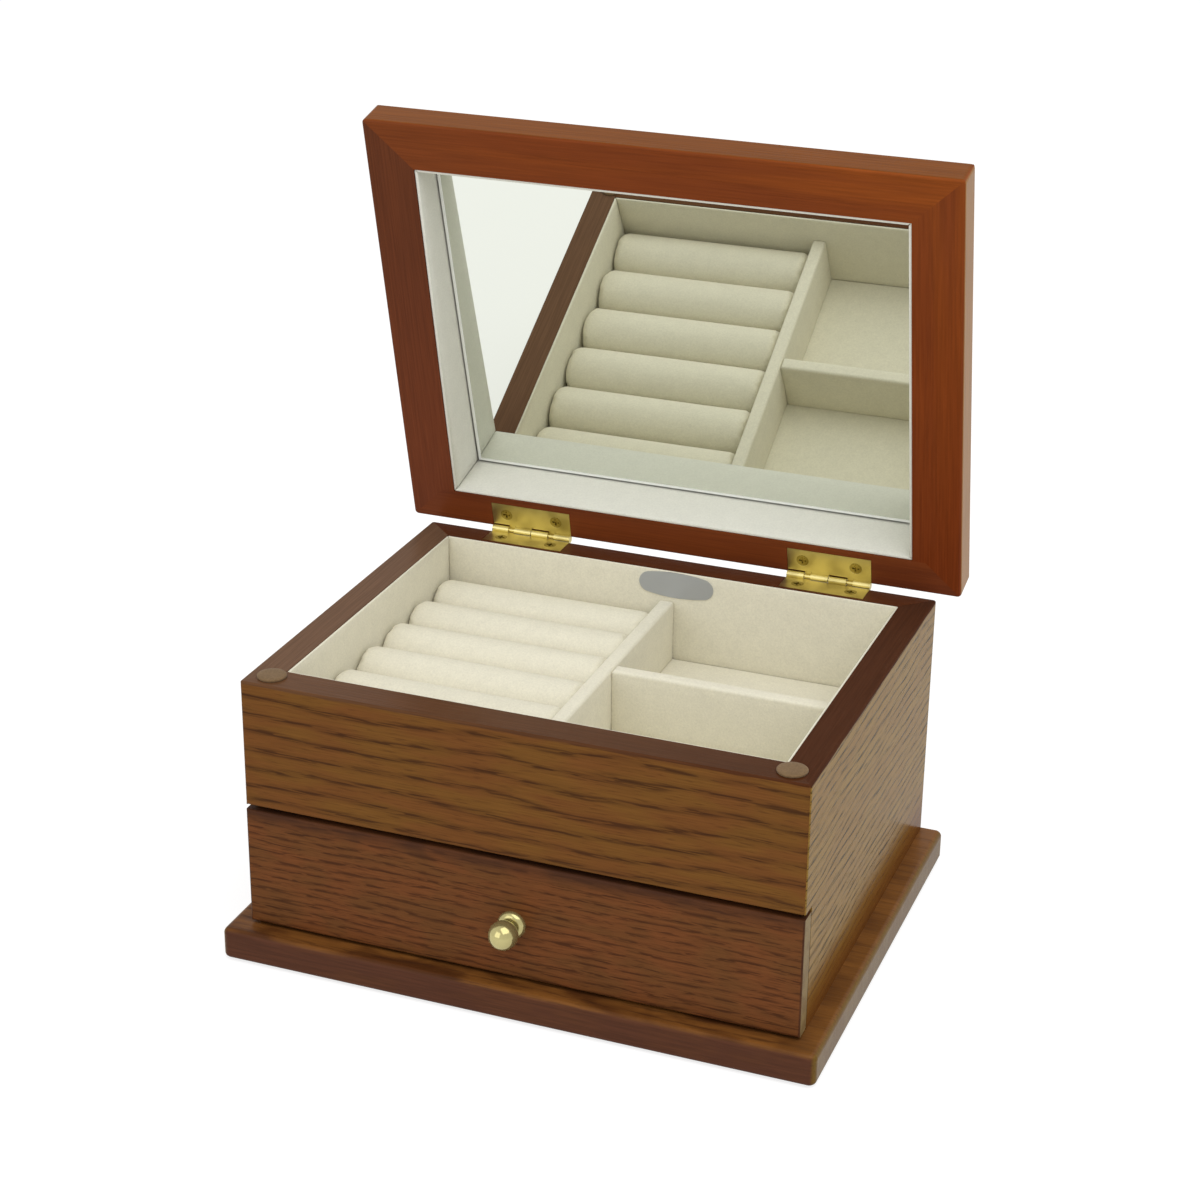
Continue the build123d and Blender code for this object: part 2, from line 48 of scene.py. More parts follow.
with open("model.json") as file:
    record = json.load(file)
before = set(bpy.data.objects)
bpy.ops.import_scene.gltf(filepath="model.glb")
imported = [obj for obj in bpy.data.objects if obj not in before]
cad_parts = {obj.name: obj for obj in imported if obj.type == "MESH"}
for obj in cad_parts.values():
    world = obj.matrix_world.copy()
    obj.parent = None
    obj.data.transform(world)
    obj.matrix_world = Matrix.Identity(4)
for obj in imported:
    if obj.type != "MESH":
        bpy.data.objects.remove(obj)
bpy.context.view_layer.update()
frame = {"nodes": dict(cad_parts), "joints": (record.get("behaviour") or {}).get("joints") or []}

# The lid as it lies shut, from the hinge's place and travel
lid_hinge = next(joint for joint in frame["joints"] if joint["name"] == "lid_hinge")
hinge_point = Vector(lid_hinge["pos_m"])
shut_angle = -math.radians(lid_hinge["range_deg"][0])
shutting = (
    Matrix.Translation(hinge_point) @ Matrix.Rotation(shut_angle, 4, "X") @ Matrix.Translation(-hinge_point)
)

# Patterns are drawn in millimetres, with the length of a board on X
PER_METRE = 1000.0
MILLIMETRES = (PER_METRE, PER_METRE, PER_METRE)
LONG_ON_X = (0.0, 0.0, 0.0)
LONG_ON_Y = (0.0, 0.0, math.radians(-90.0))
LID_LONG_ON_X = (shut_angle, 0.0, 0.0)
LID_LONG_ON_Y = (shut_angle, 0.0, math.radians(-90.0))

# Sockets of a colour Mix node
MIX_SHARE = 0
MIX_FIRST = 6
MIX_SECOND = 7
MIX_RESULT = 2

# Settings that many nodes share
SMOOTH = {"interpolation_type": "SMOOTHSTEP"}
COLOUR_MIX = {"data_type": "RGBA"}
COLOUR_TIMES = {"data_type": "RGBA", "blend_type": "MULTIPLY"}

# Distances between growth lines, and how far the pores carry the edge of a stain
LID_SPACING = 0.011
BOARD_SPACING = 0.005
RAGGED_EDGE = 0.0016

# Modelling: least share of a normal along a direction it faces, points that touch, sides of a round
FACING = 0.99
TOUCH = 1e-6
ROUND_SIDES = 48

# Edges sharper than the first angle are rounded, and those below the second are shaded smooth
SHARP_ANGLE = math.radians(40.0)
SMOOTH_ANGLE = math.radians(50.0)

# Width of the ripples in cloth and felt that lie flat, and their heights
RIPPLE_WIDTH = 0.03
FLOOR_RIPPLE = 0.00015
BASE_RIPPLE = 0.00005


def linear(hex_colour):
    """Linear colour of an sRGB hex value."""
    channels = [int(hex_colour[place : place + 2], 16) / 255 for place in (1, 3, 5)]
    return [c / 12.92 if c <= 0.04045 else ((c + 0.055) / 1.055) ** 2.4 for c in channels] + [1.0]


def paint(name, description, hex_colour):
    """Colour property whose default is an sRGB hex value."""
    default = linear(hex_colour)
    return FloatVectorProperty(
        name=name, description=description, subtype="COLOR", size=4, min=0, max=1, default=default
    )


def length(name, description, millimetres):
    """Length property whose default is in millimetres."""
    return FloatProperty(
        name=name, description=description, unit="LENGTH", min=0, precision=5, default=millimetres / 1000
    )


class WoodLooks(bpy.types.PropertyGroup):
    """Colours and grain of the wood; some colours also carry painted light, shade, sheen and reflection."""

    veneer: paint("Case veneer", "Ground colour of the case veneer", "#714B21")
    veneer_warm: paint("Case veneer, warm", "Redder patches of the case veneer", "#6F4521")
    # The side veneer is the case's brown stain, painted golden for the tan sheen that the sides show at a
    # glancing angle
    veneer_side_with_painted_sheen: paint("Side veneer", "Ground colour of the side veneer", "#8D6D32")
    veneer_side_warm_with_painted_sheen: paint("Side veneer, warm", "Redder patches of the side veneer", "#89672F")
    veneer_streak: paint("Case streaks", "Open pores filled with stain in the case veneer", "#3A2112")
    side_streak: paint("Side streaks", "Open pores in the veneer of the sides", "#352A0E")
    # Painted reflection: the brown of the plinth top as it shows in the glossy foot of the sides, in place
    # of their white sheen
    side_foot_painted_reflection: paint("Side veneer, foot", "Stain left along the foot of the sides", "#6C4118")
    rim: paint("Rim stain", "Dark stain on the sawn top edges of the case", "#542D18")
    # The rim colours below carry painted light: the front rim is painted lighter towards the left and
    # darker towards the right, the left rim greyer for its sheen, and the right rim darker as painted shade
    rim_front_right_painted_shade: paint("Rim stain, dark", "Thicker stain on the rim towards the right", "#472510")
    rim_right_painted_shade: paint("Rim stain, right", "Stain on the rim of the right side", "#482A1B")
    rim_left_painted_sheen: paint("Rim stain, left", "Greyer stain on the rim of the left side", "#694E3B")
    rim_front_left_painted_light: paint("Rim stain, pale", "Thinner stain on the rim towards the left", "#60412A")
    drawer: paint("Drawer veneer", "Ground colour of the drawer veneer", "#704223")
    drawer_warm: paint("Drawer veneer, dark", "Darker patches of the drawer veneer", "#684122")
    drawer_streak: paint("Drawer streaks", "Fine pores in the drawer veneer", "#341B0F")
    # The drawer edges: darker stain at the rounded ends, and a painted shadow along the top under the upper
    # front
    drawer_edge_stain_and_shadow: paint("Drawer edges", "Stain along the edges of the drawer front", "#43281A")
    # The sawn ends are painted khaki-tan: partly their own end grain, partly the sheen they show at a
    # glancing angle
    drawer_end_stain_and_sheen: paint("Drawer ends", "Sawn ends of the drawer front", "#85704A")
    lid: paint("Lid stain", "Ground colour of the lacquered lid frame", "#874316")
    lid_dark: paint("Lid stain, dark", "Darker bands along the lid frame", "#763816")
    lid_left: paint("Left stile", "Ground colour of the darker left stile", "#63341C")
    lid_left_dark: paint("Left stile, dark", "Darker bands along the left stile", "#5B301B")
    # Towards its hinge end the left stile is lighter, as painted light; the right stile is darker towards
    # its hinge end
    lid_left_low_painted_light: paint("Left stile, foot", "Stain at the hinge end of the left stile", "#6D361D")
    lid_right_low: paint("Right stile, foot", "Stain at the hinge end of the right stile", "#713214")
    lid_low: paint("Hinge rail", "Ground colour of the hinge rail", "#773B1C")
    lid_low_dark: paint("Hinge rail, dark", "Darker bands along the hinge rail", "#69331C")
    # The upper side of the open lid: a golden stain that also paints the tint of the highlight band along
    # it
    lid_crown_stain_and_highlight: paint("Lid top edge", "Stain on the upper side of the open lid", "#733F10")
    lid_corner: paint("Lid corner", "Darker stain at the left end of the front rail", "#733918")
    # The outer sides of the lid: a paler stain with a painted sheen, as the faces that look to the side
    # show at a glancing angle
    lid_end_stain_and_sheen: paint("Lid sides", "Paler stain on the outer sides of the lid", "#966A38")
    lid_streak: paint("Lid streaks", "Fine pores in the lid frame", "#4A2212")
    plinth: paint("Plinth stain", "Top of the plinth", "#784C22")
    plinth_dark: paint("Plinth stain, dark", "Darker patches on top of the plinth", "#4E2C14")
    # Painted light: the top of the plinth is lighter towards the right, beside the case
    plinth_ledge_painted_light: paint("Plinth stain, light", "Top of the plinth beside the case", "#7C5226")
    plinth_edge: paint("Plinth edge", "Stained front and back edges of the plinth", "#523020")
    # The plinth ends: their stain with a painted sheen, olive-tan like the other faces that look to the
    # side
    plinth_side_stain_and_sheen: paint("Plinth ends", "Stained end edges of the plinth", "#6A4F1E")
    board: paint("Plain board", "Unstained board of the drawer box", "#C9A878")
    board_streak: paint("Plain board streaks", "Grain of the unstained board", "#A9834F")
    veneer_spacing: length("Case grain spacing", "Distance between growth lines on the case", 6.4)
    side_spacing: length("Side grain spacing", "Distance between growth lines on the sides", 3.8)
    drawer_spacing: length("Drawer grain spacing", "Distance between growth lines on the drawer", 3.1)


class SoftLooks(bpy.types.PropertyGroup):
    """Colours and shapes of the cloth and felt."""

    suede: paint("Tray suede", "Cream suede cloth of the tray and drawer", "#E6E1CD")
    # The same suede as the tray, painted paler and less yellow round the mirror, as painted light
    lid_suede_painted_light: paint("Lid suede", "Paler suede cloth round the mirror", "#E2E1D6")
    dot_felt: paint("Felt dots", "Felt dots under the shut lid", "#806647")
    base_felt: paint("Base felt", "Felt under the plinth", "#4A3A30")
    edge_round: length("Folded edge", "Radius of the cloth folded over a card edge", 0.4)
    crown: length("Crown", "How far the cloth pulls back along the edges of a card", 0.25)
    divider_round: length("Divider edge", "Radius of the cloth over the edges of a divider", 1.1)
    roll_voxel: length("Roll mesh", "Mesh size of a ring roll before it is filled", 1.5)
    roll_swell: length("Roll swell", "Furthest that the cloth of a ring roll moves as it fills", 0.9)


class MetalLooks(bpy.types.PropertyGroup):
    """Colours of the metal and glass."""

    brass: paint("Brass", "Polished brass of the knob", "#BAB07A")
    leaf_brass: paint("Leaf brass", "Lacquered sheet brass of the hinges", "#D0C283")
    screw_brass: paint("Screw brass", "Darker brass of the hinge screws", "#A09052")
    brass_dull: paint("Brass, dull", "Tarnished patches of the brass", "#857645")
    steel: paint("Zinc", "Zinc plating of the hidden screws", "#BDBEBA")
    mirror: paint("Mirror", "Silvered glass", "#E2E5DC")
    bevel_width: length("Bevel width", "Width of the ground border of the mirror", 1.6)
    glass_bevel: paint("Mirror bevel", "Ground bevel of the mirror glass", "#F2F4F0")
    glass_edge: paint("Mirror edge", "Cut edge of the mirror glass", "#2E362F")
    label: paint("Label", "Satin foil of the blank label", "#ACAFB3")


class StageLooks(bpy.types.PropertyGroup):
    """Camera, lights and floor."""

    camera_place: FloatVectorProperty(
        name="Camera place",
        description="Where the camera stands",
        subtype="TRANSLATION",
        unit="LENGTH",
        default=(0.29148, -0.76650, 0.47838),
    )
    camera_turn: FloatVectorProperty(
        name="Camera turn",
        description="How the camera is turned",
        subtype="EULER",
        default=(math.radians(66.426), math.radians(-0.5735), math.radians(21.109)),
    )
    camera_lens: FloatProperty(
        name="Lens", description="Focal length on a 36 mm wide sensor", unit="CAMERA", default=77.53
    )
    ambient: FloatProperty(name="Ambient", description="Light from all round", min=0, default=0.67)
    key_power: FloatProperty(
        name="Key light", description="Power of the soft light overhead", unit="POWER", min=0, default=14.0
    )
    fill_power: FloatProperty(
        name="Fill light", description="Power of the soft light in front", unit="POWER", min=0, default=5.5
    )
    floor: paint("Floor", "Colour of the floor as it lights the box", "#E8E8E6")


# Nodes and materials


def add_node(tree, kind, sockets=None, **settings):
    """Adds a node with its settings. A socket gets a value, or a link to an output or a node's result."""
    node = tree.nodes.new(f"ShaderNode{kind}")
    for name, value in settings.items():
        setattr(node, name, value)
    for socket, value in (sockets or {}).items():
        if isinstance(value, bpy.types.Node):
            value = value.outputs[MIX_RESULT if value.bl_idname == "ShaderNodeMix" else 0]
        if isinstance(value, bpy.types.NodeSocket):
            tree.links.new(value, node.inputs[socket])
        else:
            node.inputs[socket].default_value = value
    return node


def new_material(name):
    """An empty material, and the function that adds nodes to it."""
    material = bpy.data.materials.new(name)
    material.use_nodes = True
    material.node_tree.nodes.clear()
    return material, partial(add_node, material.node_tree)


def assign(material, *names):
    """Puts a material on solids that stay as they are."""
    for name in names:
        for slot in frame["nodes"][name].material_slots:
            slot.material = material


def stained_wood(name, turn, across, colours, spacing, patterns, **looks):
    """Stained wood under satin lacquer: growth lines broken into dark pores, fibre and slow colour changes.

    turn brings the length of the board onto X, and across is the axis over the growth lines.
    patterns gives the length and width of each noise in millimetres, its detail and its raggedness.
    faces names stains, and painted light, shade, sheen and reflection, that lie over the grain where a face
    looks up or to its own side, above a height or right of a place. left_colour is a colour painted lighter
    at the left end, for the sheen there, that fades along the board.
    """
    ground, warm, streak = colours
    material, add = new_material(name)
    coords = add("TexCoord").outputs
    board = add(
        "Mapping",
        {
            "Vector": coords["Object"],
            "Location": looks.get("shift", (0, 0, 0)),
            "Rotation": turn,
            "Scale": MILLIMETRES,
        },
    )
    noise = {}
    for pattern, (along, over, detail, ragged) in patterns.items():
        stretch = add("Mapping", {"Vector": board, "Scale": (1 / along, 1 / over, 1 / over)})
        texture = add("TexNoise", {"Vector": stretch, "Scale": 1.0, "Detail": detail, "Distortion": ragged})
        noise[pattern] = texture

    place = add("SeparateXYZ", {"Vector": board}).outputs
    wander = add("Math", {0: noise["wander"], 1: looks["wander"]}, operation="MULTIPLY")
    rings = 1 / (spacing * PER_METRE)
    ring_number = add("Math", {0: place[across], 1: rings, 2: wander}, operation="MULTIPLY_ADD")
    away = add("Math", {0: ring_number, 1: 0.5}, operation="PINGPONG")
    line = add(
        "MapRange", {"Value": away, "From Max": looks["line"], "To Min": 1.0, "To Max": 0.0}, **SMOOTH
    )
    pores = add(
        "MapRange",
        {"Value": noise["pores"], "From Min": 0.44, "From Max": 0.58, "To Min": looks.get("thread", 0.1)},
        **SMOOTH,
    )
    broken = add("Math", {0: line, 1: pores}, operation="MULTIPLY")
    specks = add(
        "MapRange",
        {"Value": noise["specks"], "From Min": 0.56, "From Max": 0.74, "To Max": looks["specks"]}, **SMOOTH,
    )
    dark = add("Math", {0: broken, 1: specks}, operation="MAXIMUM")
    share = add("Math", {0: dark, 1: looks["streak"]}, operation="MULTIPLY")
    tone = add("MapRange", {"Value": noise["tone"], "From Min": 0.35, "From Max": 0.65}, **SMOOTH)
    stain = add("Mix", {MIX_SHARE: tone, MIX_FIRST: ground, MIX_SECOND: warm}, **COLOUR_MIX)
    grained = add("Mix", {MIX_SHARE: share, MIX_FIRST: stain, MIX_SECOND: streak}, **COLOUR_MIX)
    fibre = add(
        "MapRange",
        {"Value": noise["fibre"], "From Min": 0.3, "From Max": 0.7, "To Min": 0.86, "To Max": 1.1},
    )
    colour = add("Mix", {MIX_SHARE: 1.0, MIX_FIRST: grained, MIX_SECOND: fibre}, **COLOUR_TIMES)

    gloss = add(
        "MapRange", {"Value": dark, "To Min": looks["roughness"], "To Max": looks["roughness"] + 0.12}
    )
    normal = add("SeparateXYZ", {"Vector": coords["Normal"]}).outputs
    point = add("SeparateXYZ", {"Vector": coords["Object"]}).outputs
    hand = add("Math", {0: point["X"]}, operation="SIGN")
    outward = add("Math", {0: normal["X"], 1: hand}, operation="MULTIPLY")
    height = add("Math", {0: noise["pores"], 1: RAGGED_EDGE, 2: point["Z"]}, operation="MULTIPLY_ADD")
    measures = {"up": normal["Z"], "side": outward, "height": height, "right": point["X"]}
    for face in looks.get("faces", ()):
        turned = add(
            "MapRange",
            {"Value": measures[face["where"]], "From Min": face["low"], "From Max": face["high"]}, **SMOOTH,
        )
        worn = add(
            "MapRange",
            {"Value": noise["tone"], "From Min": 0.42, "From Max": 0.58, "To Min": 1 - face["patchy"]},
            **SMOOTH,
        )
        facing_share = add("Math", {0: turned, 1: worn}, operation="MULTIPLY")
        mottle = add(
            "MapRange",
            {"Value": noise["fibre"], "From Min": 0.3, "From Max": 0.7, "To Min": 0.85, "To Max": 1.15},
        )
        tint = face["colour"]
        # A colour painted lighter at the left end, fading along the board, for the sheen on the left of the
        # rim
        if "left_colour" in face:
            reach = face["reach"]
            left = face["left_colour"]
            along = add("MapRange", {"Value": point["X"], "From Min": -reach, "From Max": reach})
            tint = add("Mix", {MIX_SHARE: along, MIX_FIRST: left, MIX_SECOND: tint}, **COLOUR_MIX)
        tinted = add("Mix", {MIX_SHARE: 1.0, MIX_FIRST: tint, MIX_SECOND: mottle}, **COLOUR_TIMES)
        colour = add("Mix", {MIX_SHARE: facing_share, MIX_FIRST: colour, MIX_SECOND: tinted}, **COLOUR_MIX)
        gloss = add("MapRange", {"Value": facing_share, "To Min": gloss, "To Max": face["roughness"]})

    relief = add("Math", {0: dark, 1: noise["fibre"]}, operation="SUBTRACT")
    bump = add("Bump", {"Height": relief, "Strength": 0.25, "Distance": 0.0001}, invert=True)
    shader = add(
        "BsdfPrincipled",
        {
            "Base Color": colour,
            "Roughness": gloss,
            "IOR": 1.45,
            "Specular IOR Level": looks["specular"],
            "Normal": bump,
        },
    )
    add("OutputMaterial", {"Surface": shader})
    return material


def case_veneer(name, turn, shift, colours, spacing, rim, **looks):
    """Ash veneer, stained brown: ragged pore lines that wander, and a darker stain on the sawn rim, into
    which painted sheen and shade are mixed on the front and the sides.
    """
    patterns = {
        "wander": (70.0, 24.0, 2.0, 0.0),
        "pores": (13.0, looks["pore_width"], 2.0, 0.5),
        "specks": (8.0, 0.55, 1.0, 0.3),
        "tone": (30.0, 7.0, 2.0, 0.0),
        "fibre": (20.0, 0.5, 2.0, 0.0),
    }
    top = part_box("upper_front_panel")[1].z
    rim = {"patchy": 0.0, "roughness": 0.3, **rim}
    return stained_wood(
        name, turn, "Z", colours, spacing, patterns, shift=shift,
        faces=[
            *looks.pop("feet", ()),
            {"where": "up", "low": 0.5, "high": 0.85, **rim},
            {"where": "height", "low": top - 0.0006, "high": top + 0.0002, **rim},
        ],
        **looks,
    )


def drawer_veneer(name, turn, shift):
    """Ash veneer cut across the rings and stained darker: short ragged pores, darker stain along the
    rounded ends, a painted shadow along the top under the upper front, and sawn ends that carry painted
    sheen.
    """
    wood = bpy.context.scene.jewelry_wood
    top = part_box("drawer_front")[1].z
    # Darker stain at the rounded ends, and a painted shadow along the top where the upper front overhangs
    edge = {"colour": wood.drawer_edge_stain_and_shadow, "patchy": 0.3, "roughness": 0.4}
    patterns = {
        "wander": (60.0, 14.0, 2.0, 0.0),
        "pores": (7.5, 0.65, 2.0, 0.4),
        "specks": (6.0, 0.5, 1.0, 0.3),
        "tone": (20.0, 9.0, 2.0, 0.3),
        "fibre": (12.0, 0.5, 2.0, 0.0),
    }
    return stained_wood(
        name, turn, "Z", (wood.drawer, wood.drawer_warm, wood.drawer_streak), wood.drawer_spacing, patterns,
        wander=2.4, line=0.46, specks=0.6, streak=0.72, roughness=0.36, specular=0.06, shift=shift,
        faces=[
            # Painted shadow along the top of the drawer front, under the upper front
            {"where": "height", "low": top - 0.006, "high": top + 0.001, **edge},
            {"where": "side", "low": 0.2, "high": 0.6, **edge},
            # Sawn ends: end grain with a painted sheen
            {**edge, "where": "side", "low": 0.9, "high": 0.99, "colour": wood.drawer_end_stain_and_sheen},
        ],
    )


def lid_wood(name, turn, shift, colours, faces):
    """Close-grained hardwood, stained red-brown and lacquered: soft bands along it, hardly any pores."""
    wood = bpy.context.scene.jewelry_wood
    patterns = {
        "wander": (160.0, 30.0, 1.0, 0.0),
        "pores": (14.0, 0.5, 2.0, 0.3),
        "specks": (5.0, 0.4, 1.0, 0.0),
        "tone": (150.0, 12.0, 1.0, 0.0),
        "fibre": (26.0, 0.7, 2.0, 0.0),
    }
    return stained_wood(
        name, turn, "Y", (*colours, wood.lid_streak), LID_SPACING, patterns, wander=2.0, line=0.3,
        specks=0.08, streak=0.14, roughness=0.3, specular=0.07, shift=shift, faces=faces,
    )


def plinth_wood(name):
    """Veneered board with a rounded edge: brown on top with dark patches and painted lighter beside the
    case, stained dark round it, and with painted sheen on its ends.
    """
    wood = bpy.context.scene.jewelry_wood
    case_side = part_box("side_panel_right")[1].x
    ledge = {"where": "right", "low": case_side - 0.012, "high": case_side + 0.02}
    edge = {"where": "up", "low": 0.8, "high": 0.3}
    end = {"where": "side", "low": 0.3, "high": 0.8}
    patterns = {
        "wander": (110.0, 20.0, 1.5, 0.0),
        "pores": (9.0, 0.7, 2.0, 0.4),
        "specks": (3.0, 1.2, 1.0, 0.3),
        "tone": (24.0, 10.0, 2.0, 0.3),
        "fibre": (14.0, 0.6, 2.0, 0.0),
    }
    return stained_wood(
        name, LONG_ON_X, "Y", (wood.plinth, wood.plinth_dark, wood.veneer_streak), BOARD_SPACING, patterns,
        wander=2.4, line=0.3, specks=0.3, streak=0.6, roughness=0.34, specular=0.1,
        faces=[
            # Painted light on the ledge beside the case
            {**ledge, "colour": wood.plinth_ledge_painted_light, "patchy": 0.0, "roughness": 0.34},
            {**edge, "colour": wood.plinth_edge, "patchy": 0.1, "roughness": 0.42},
            # Ends of the plinth: stain with a painted sheen
            {**end, "colour": wood.plinth_side_stain_and_sheen, "patchy": 0.2, "roughness": 0.32},
        ],
    )


def plain_board(name, turn, across):
    """Sanded bare board of the drawer box: pale, open grain, no lacquer."""
    wood = bpy.context.scene.jewelry_wood
    patterns = {
        "wander": (120.0, 20.0, 1.0, 0.0),
        "pores": (12.0, 0.5, 2.0, 0.3),
        "specks": (6.0, 0.5, 1.0, 0.0),
        "tone": (60.0, 10.0, 1.0, 0.0),
        "fibre": (20.0, 0.5, 2.0, 0.0),
    }
    colours = (wood.board, wood.board_streak, wood.board_streak)
    return stained_wood(
        name, turn, across, colours, BOARD_SPACING, patterns, wander=2.0, line=0.3, specks=0.3, streak=0.5,
        roughness=0.7, specular=0.3,
    )


def napped_cloth(name, colour, nap_width=0.7, fleck=0.1):
    """Cloth with a brushed nap: matt, mottled where the nap lies over, with a pale sheen at its edges."""
    mottle_width = 5.0
    material, add = new_material(name)
    coords = add("TexCoord").outputs
    cloth = add("Mapping", {"Vector": coords["Object"], "Scale": MILLIMETRES})
    mottle = add("TexNoise", {"Vector": cloth, "Scale": 1 / mottle_width, "Detail": 3.0, "Roughness": 0.6})
    nap = add("TexNoise", {"Vector": cloth, "Scale": 1 / nap_width, "Detail": 2.0, "Distortion": 0.6})
    lay = add("MapRange", {"Value": mottle, "From Min": 0.3, "From Max": 0.7, "To Min": 1 - fleck / 2})
    pile = add("MapRange", {"Value": nap, "From Min": 0.3, "From Max": 0.7, "To Min": 1 - fleck})
    shade = add("Math", {0: lay, 1: pile}, operation="MULTIPLY")
    dyed = add("Mix", {MIX_SHARE: 1.0, MIX_FIRST: colour, MIX_SECOND: shade}, **COLOUR_TIMES)
    bump = add("Bump", {"Height": nap, "Strength": 0.35, "Distance": 0.0002})
    shader = add(
        "BsdfPrincipled",
        {
            "Base Color": dyed,
            "Roughness": 0.95,
            "Specular IOR Level": 0.15,
            "Sheen Weight": 0.12,
            "Sheen Roughness": 0.5,
            "Normal": bump,
        },
    )
    add("OutputMaterial", {"Surface": shader})
    return material


def brass(name, ground, along, over, roughness, dull, metallic=1.0):
    """Lacquered brass, drawn or turned: a warm metal with fine lines along the way it was worked.

    metallic is less than 1 where the lacquer is cloudy.
    """
    metal = bpy.context.scene.jewelry_metal
    patch_width = 9.0
    spread = 0.3
    material, add = new_material(name)
    coords = add("TexCoord").outputs
    scale = (PER_METRE / along, PER_METRE / over, PER_METRE / over)
    worked = add("Mapping", {"Vector": coords["Object"], "Scale": scale})
    lines = add("TexNoise", {"Vector": worked, "Scale": 1.0, "Detail": 3.0})
    patches = add("TexNoise", {"Vector": coords["Object"], "Scale": PER_METRE / patch_width, "Detail": 1.0})
    tarnish = add(
        "MapRange", {"Value": patches, "From Min": 0.4, "From Max": 0.7, "To Max": dull}, **SMOOTH
    )
    colour = add("Mix", {MIX_SHARE: tarnish, MIX_FIRST: ground, MIX_SECOND: metal.brass_dull}, **COLOUR_MIX)
    gloss = add(
        "MapRange",
        {"Value": lines, "To Min": roughness * (1 - spread), "To Max": roughness * (1 + spread)},
    )
    bump = add("Bump", {"Height": lines, "Strength": 0.12, "Distance": 0.0001})
    shader = add(
        "BsdfPrincipled", {"Base Color": colour, "Metallic": metallic, "Roughness": gloss, "Normal": bump}
    )
    add("OutputMaterial", {"Surface": shader})
    return material


def zinc_plate(name):
    """Zinc-plated steel: grey metal with a faint spangle."""
    metal = bpy.context.scene.jewelry_metal
    spangle_width = 1.2
    material, add = new_material(name)
    coords = add("TexCoord").outputs
    spangle = add("TexVoronoi", {"Vector": coords["Object"], "Scale": PER_METRE / spangle_width})
    gloss = add("MapRange", {"Value": spangle, "To Min": 0.28, "To Max": 0.5})
    shader = add("BsdfPrincipled", {"Base Color": metal.steel, "Metallic": 1.0, "Roughness": gloss})
    add("OutputMaterial", {"Surface": shader})
    return material


def silvered_glass(name):
    """Mirror glass, silvered on the back: faint wipe marks, a pale ground bevel and a dark cut edge."""
    metal = bpy.context.scene.jewelry_metal
    wipe_width = 40.0
    bevel_fade = 0.2
    material, add = new_material(name)
    coords = add("TexCoord").outputs
    wipe = add("TexNoise", {"Vector": coords["Object"], "Scale": PER_METRE / wipe_width, "Detail": 2.0})
    haze = add(
        "MapRange", {"Value": wipe, "From Min": 0.4, "From Max": 0.8, "To Min": 0.004, "To Max": 0.02}
    )
    facing = add("Mapping", {"Vector": coords["Normal"], "Rotation": LID_LONG_ON_X}, vector_type="VECTOR")
    normal = add("SeparateXYZ", {"Vector": facing}).outputs
    bevel = add("MapRange", {"Value": normal["Z"], "From Min": -0.95, "From Max": -0.85})
    edge = add("MapRange", {"Value": normal["Z"], "From Min": -0.6, "From Max": -0.4})
    low, high = shut_box("mirror")
    middle = (low + high) / 2
    centred = shutting.translation - middle
    laid = add("Mapping", {"Vector": coords["Object"], "Location": centred, "Rotation": LID_LONG_ON_X})
    place = add("SeparateXYZ", {"Vector": laid}).outputs
    for axis, half in (("X", high.x - middle.x), ("Y", high.y - middle.y)):
        away = add("Math", {0: place[axis]}, operation="ABSOLUTE")
        begins = half - metal.bevel_width
        full = half - (1 - bevel_fade) * metal.bevel_width
        border = add("MapRange", {"Value": away, "From Min": begins, "From Max": full})
        bevel = add("Math", {0: bevel, 1: border}, operation="MAXIMUM")
    face = add(
        "Mix", {MIX_SHARE: bevel, MIX_FIRST: metal.mirror, MIX_SECOND: metal.glass_bevel}, **COLOUR_MIX
    )
    colour = add("Mix", {MIX_SHARE: edge, MIX_FIRST: face, MIX_SECOND: metal.glass_edge}, **COLOUR_MIX)
    gloss = add("MapRange", {"Value": bevel, "To Min": haze, "To Max": 0.5})
    silver = add("MapRange", {"Value": bevel, "To Min": 1.0, "To Max": 0.0})
    shader = add("BsdfPrincipled", {"Base Color": colour, "Metallic": silver, "Roughness": gloss})
    add("OutputMaterial", {"Surface": shader})
    return material


def satin_foil(name):
    """Satin metal foil with fine brushing along its length."""
    metal = bpy.context.scene.jewelry_metal
    brush_length = 9.0
    brush_width = 0.25
    material, add = new_material(name)
    coords = add("TexCoord").outputs
    scale = (PER_METRE / brush_length, PER_METRE, PER_METRE / brush_width)
    brushed = add("Mapping", {"Vector": coords["Object"], "Scale": scale})
    lines = add("TexNoise", {"Vector": brushed, "Scale": 1.0, "Detail": 2.0})
    gloss = add("MapRange", {"Value": lines, "To Min": 0.32, "To Max": 0.52})
    shader = add("BsdfPrincipled", {"Base Color": metal.label, "Metallic": 0.55, "Roughness": gloss})
    add("OutputMaterial", {"Surface": shader})
    return material


# Modelling


def apply_place():
    """Writes the place, turn and size of the selected piece into its points."""
    bpy.ops.object.transform_apply(location=True, rotation=True, scale=True)


def block(name, low, high):
    """A block between two corners, ready to be shaped in edit mode."""
    bpy.ops.object.select_all(action="DESELECT")
    bpy.ops.mesh.primitive_cube_add(size=1, calc_uvs=False, location=(low + high) / 2)
    piece = bpy.context.object
    piece.name = name
    piece.data.name = name
    piece.scale = high - low
    apply_place()
    return piece


def pick(kind, test):
    """Selects the vertices, edges or faces in edit mode that pass a test."""
    bpy.ops.mesh.select_mode(type=kind)
    bpy.ops.mesh.select_all(action="DESELECT")
    shape = bmesh.from_edit_mesh(bpy.context.object.data)
    parts = {"VERT": shape.verts, "EDGE": shape.edges, "FACE": shape.faces}[kind]
    for part in parts:
        part.select_set(bool(test(part)))
    shape.select_flush_mode()
    bmesh.update_edit_mesh(bpy.context.object.data)


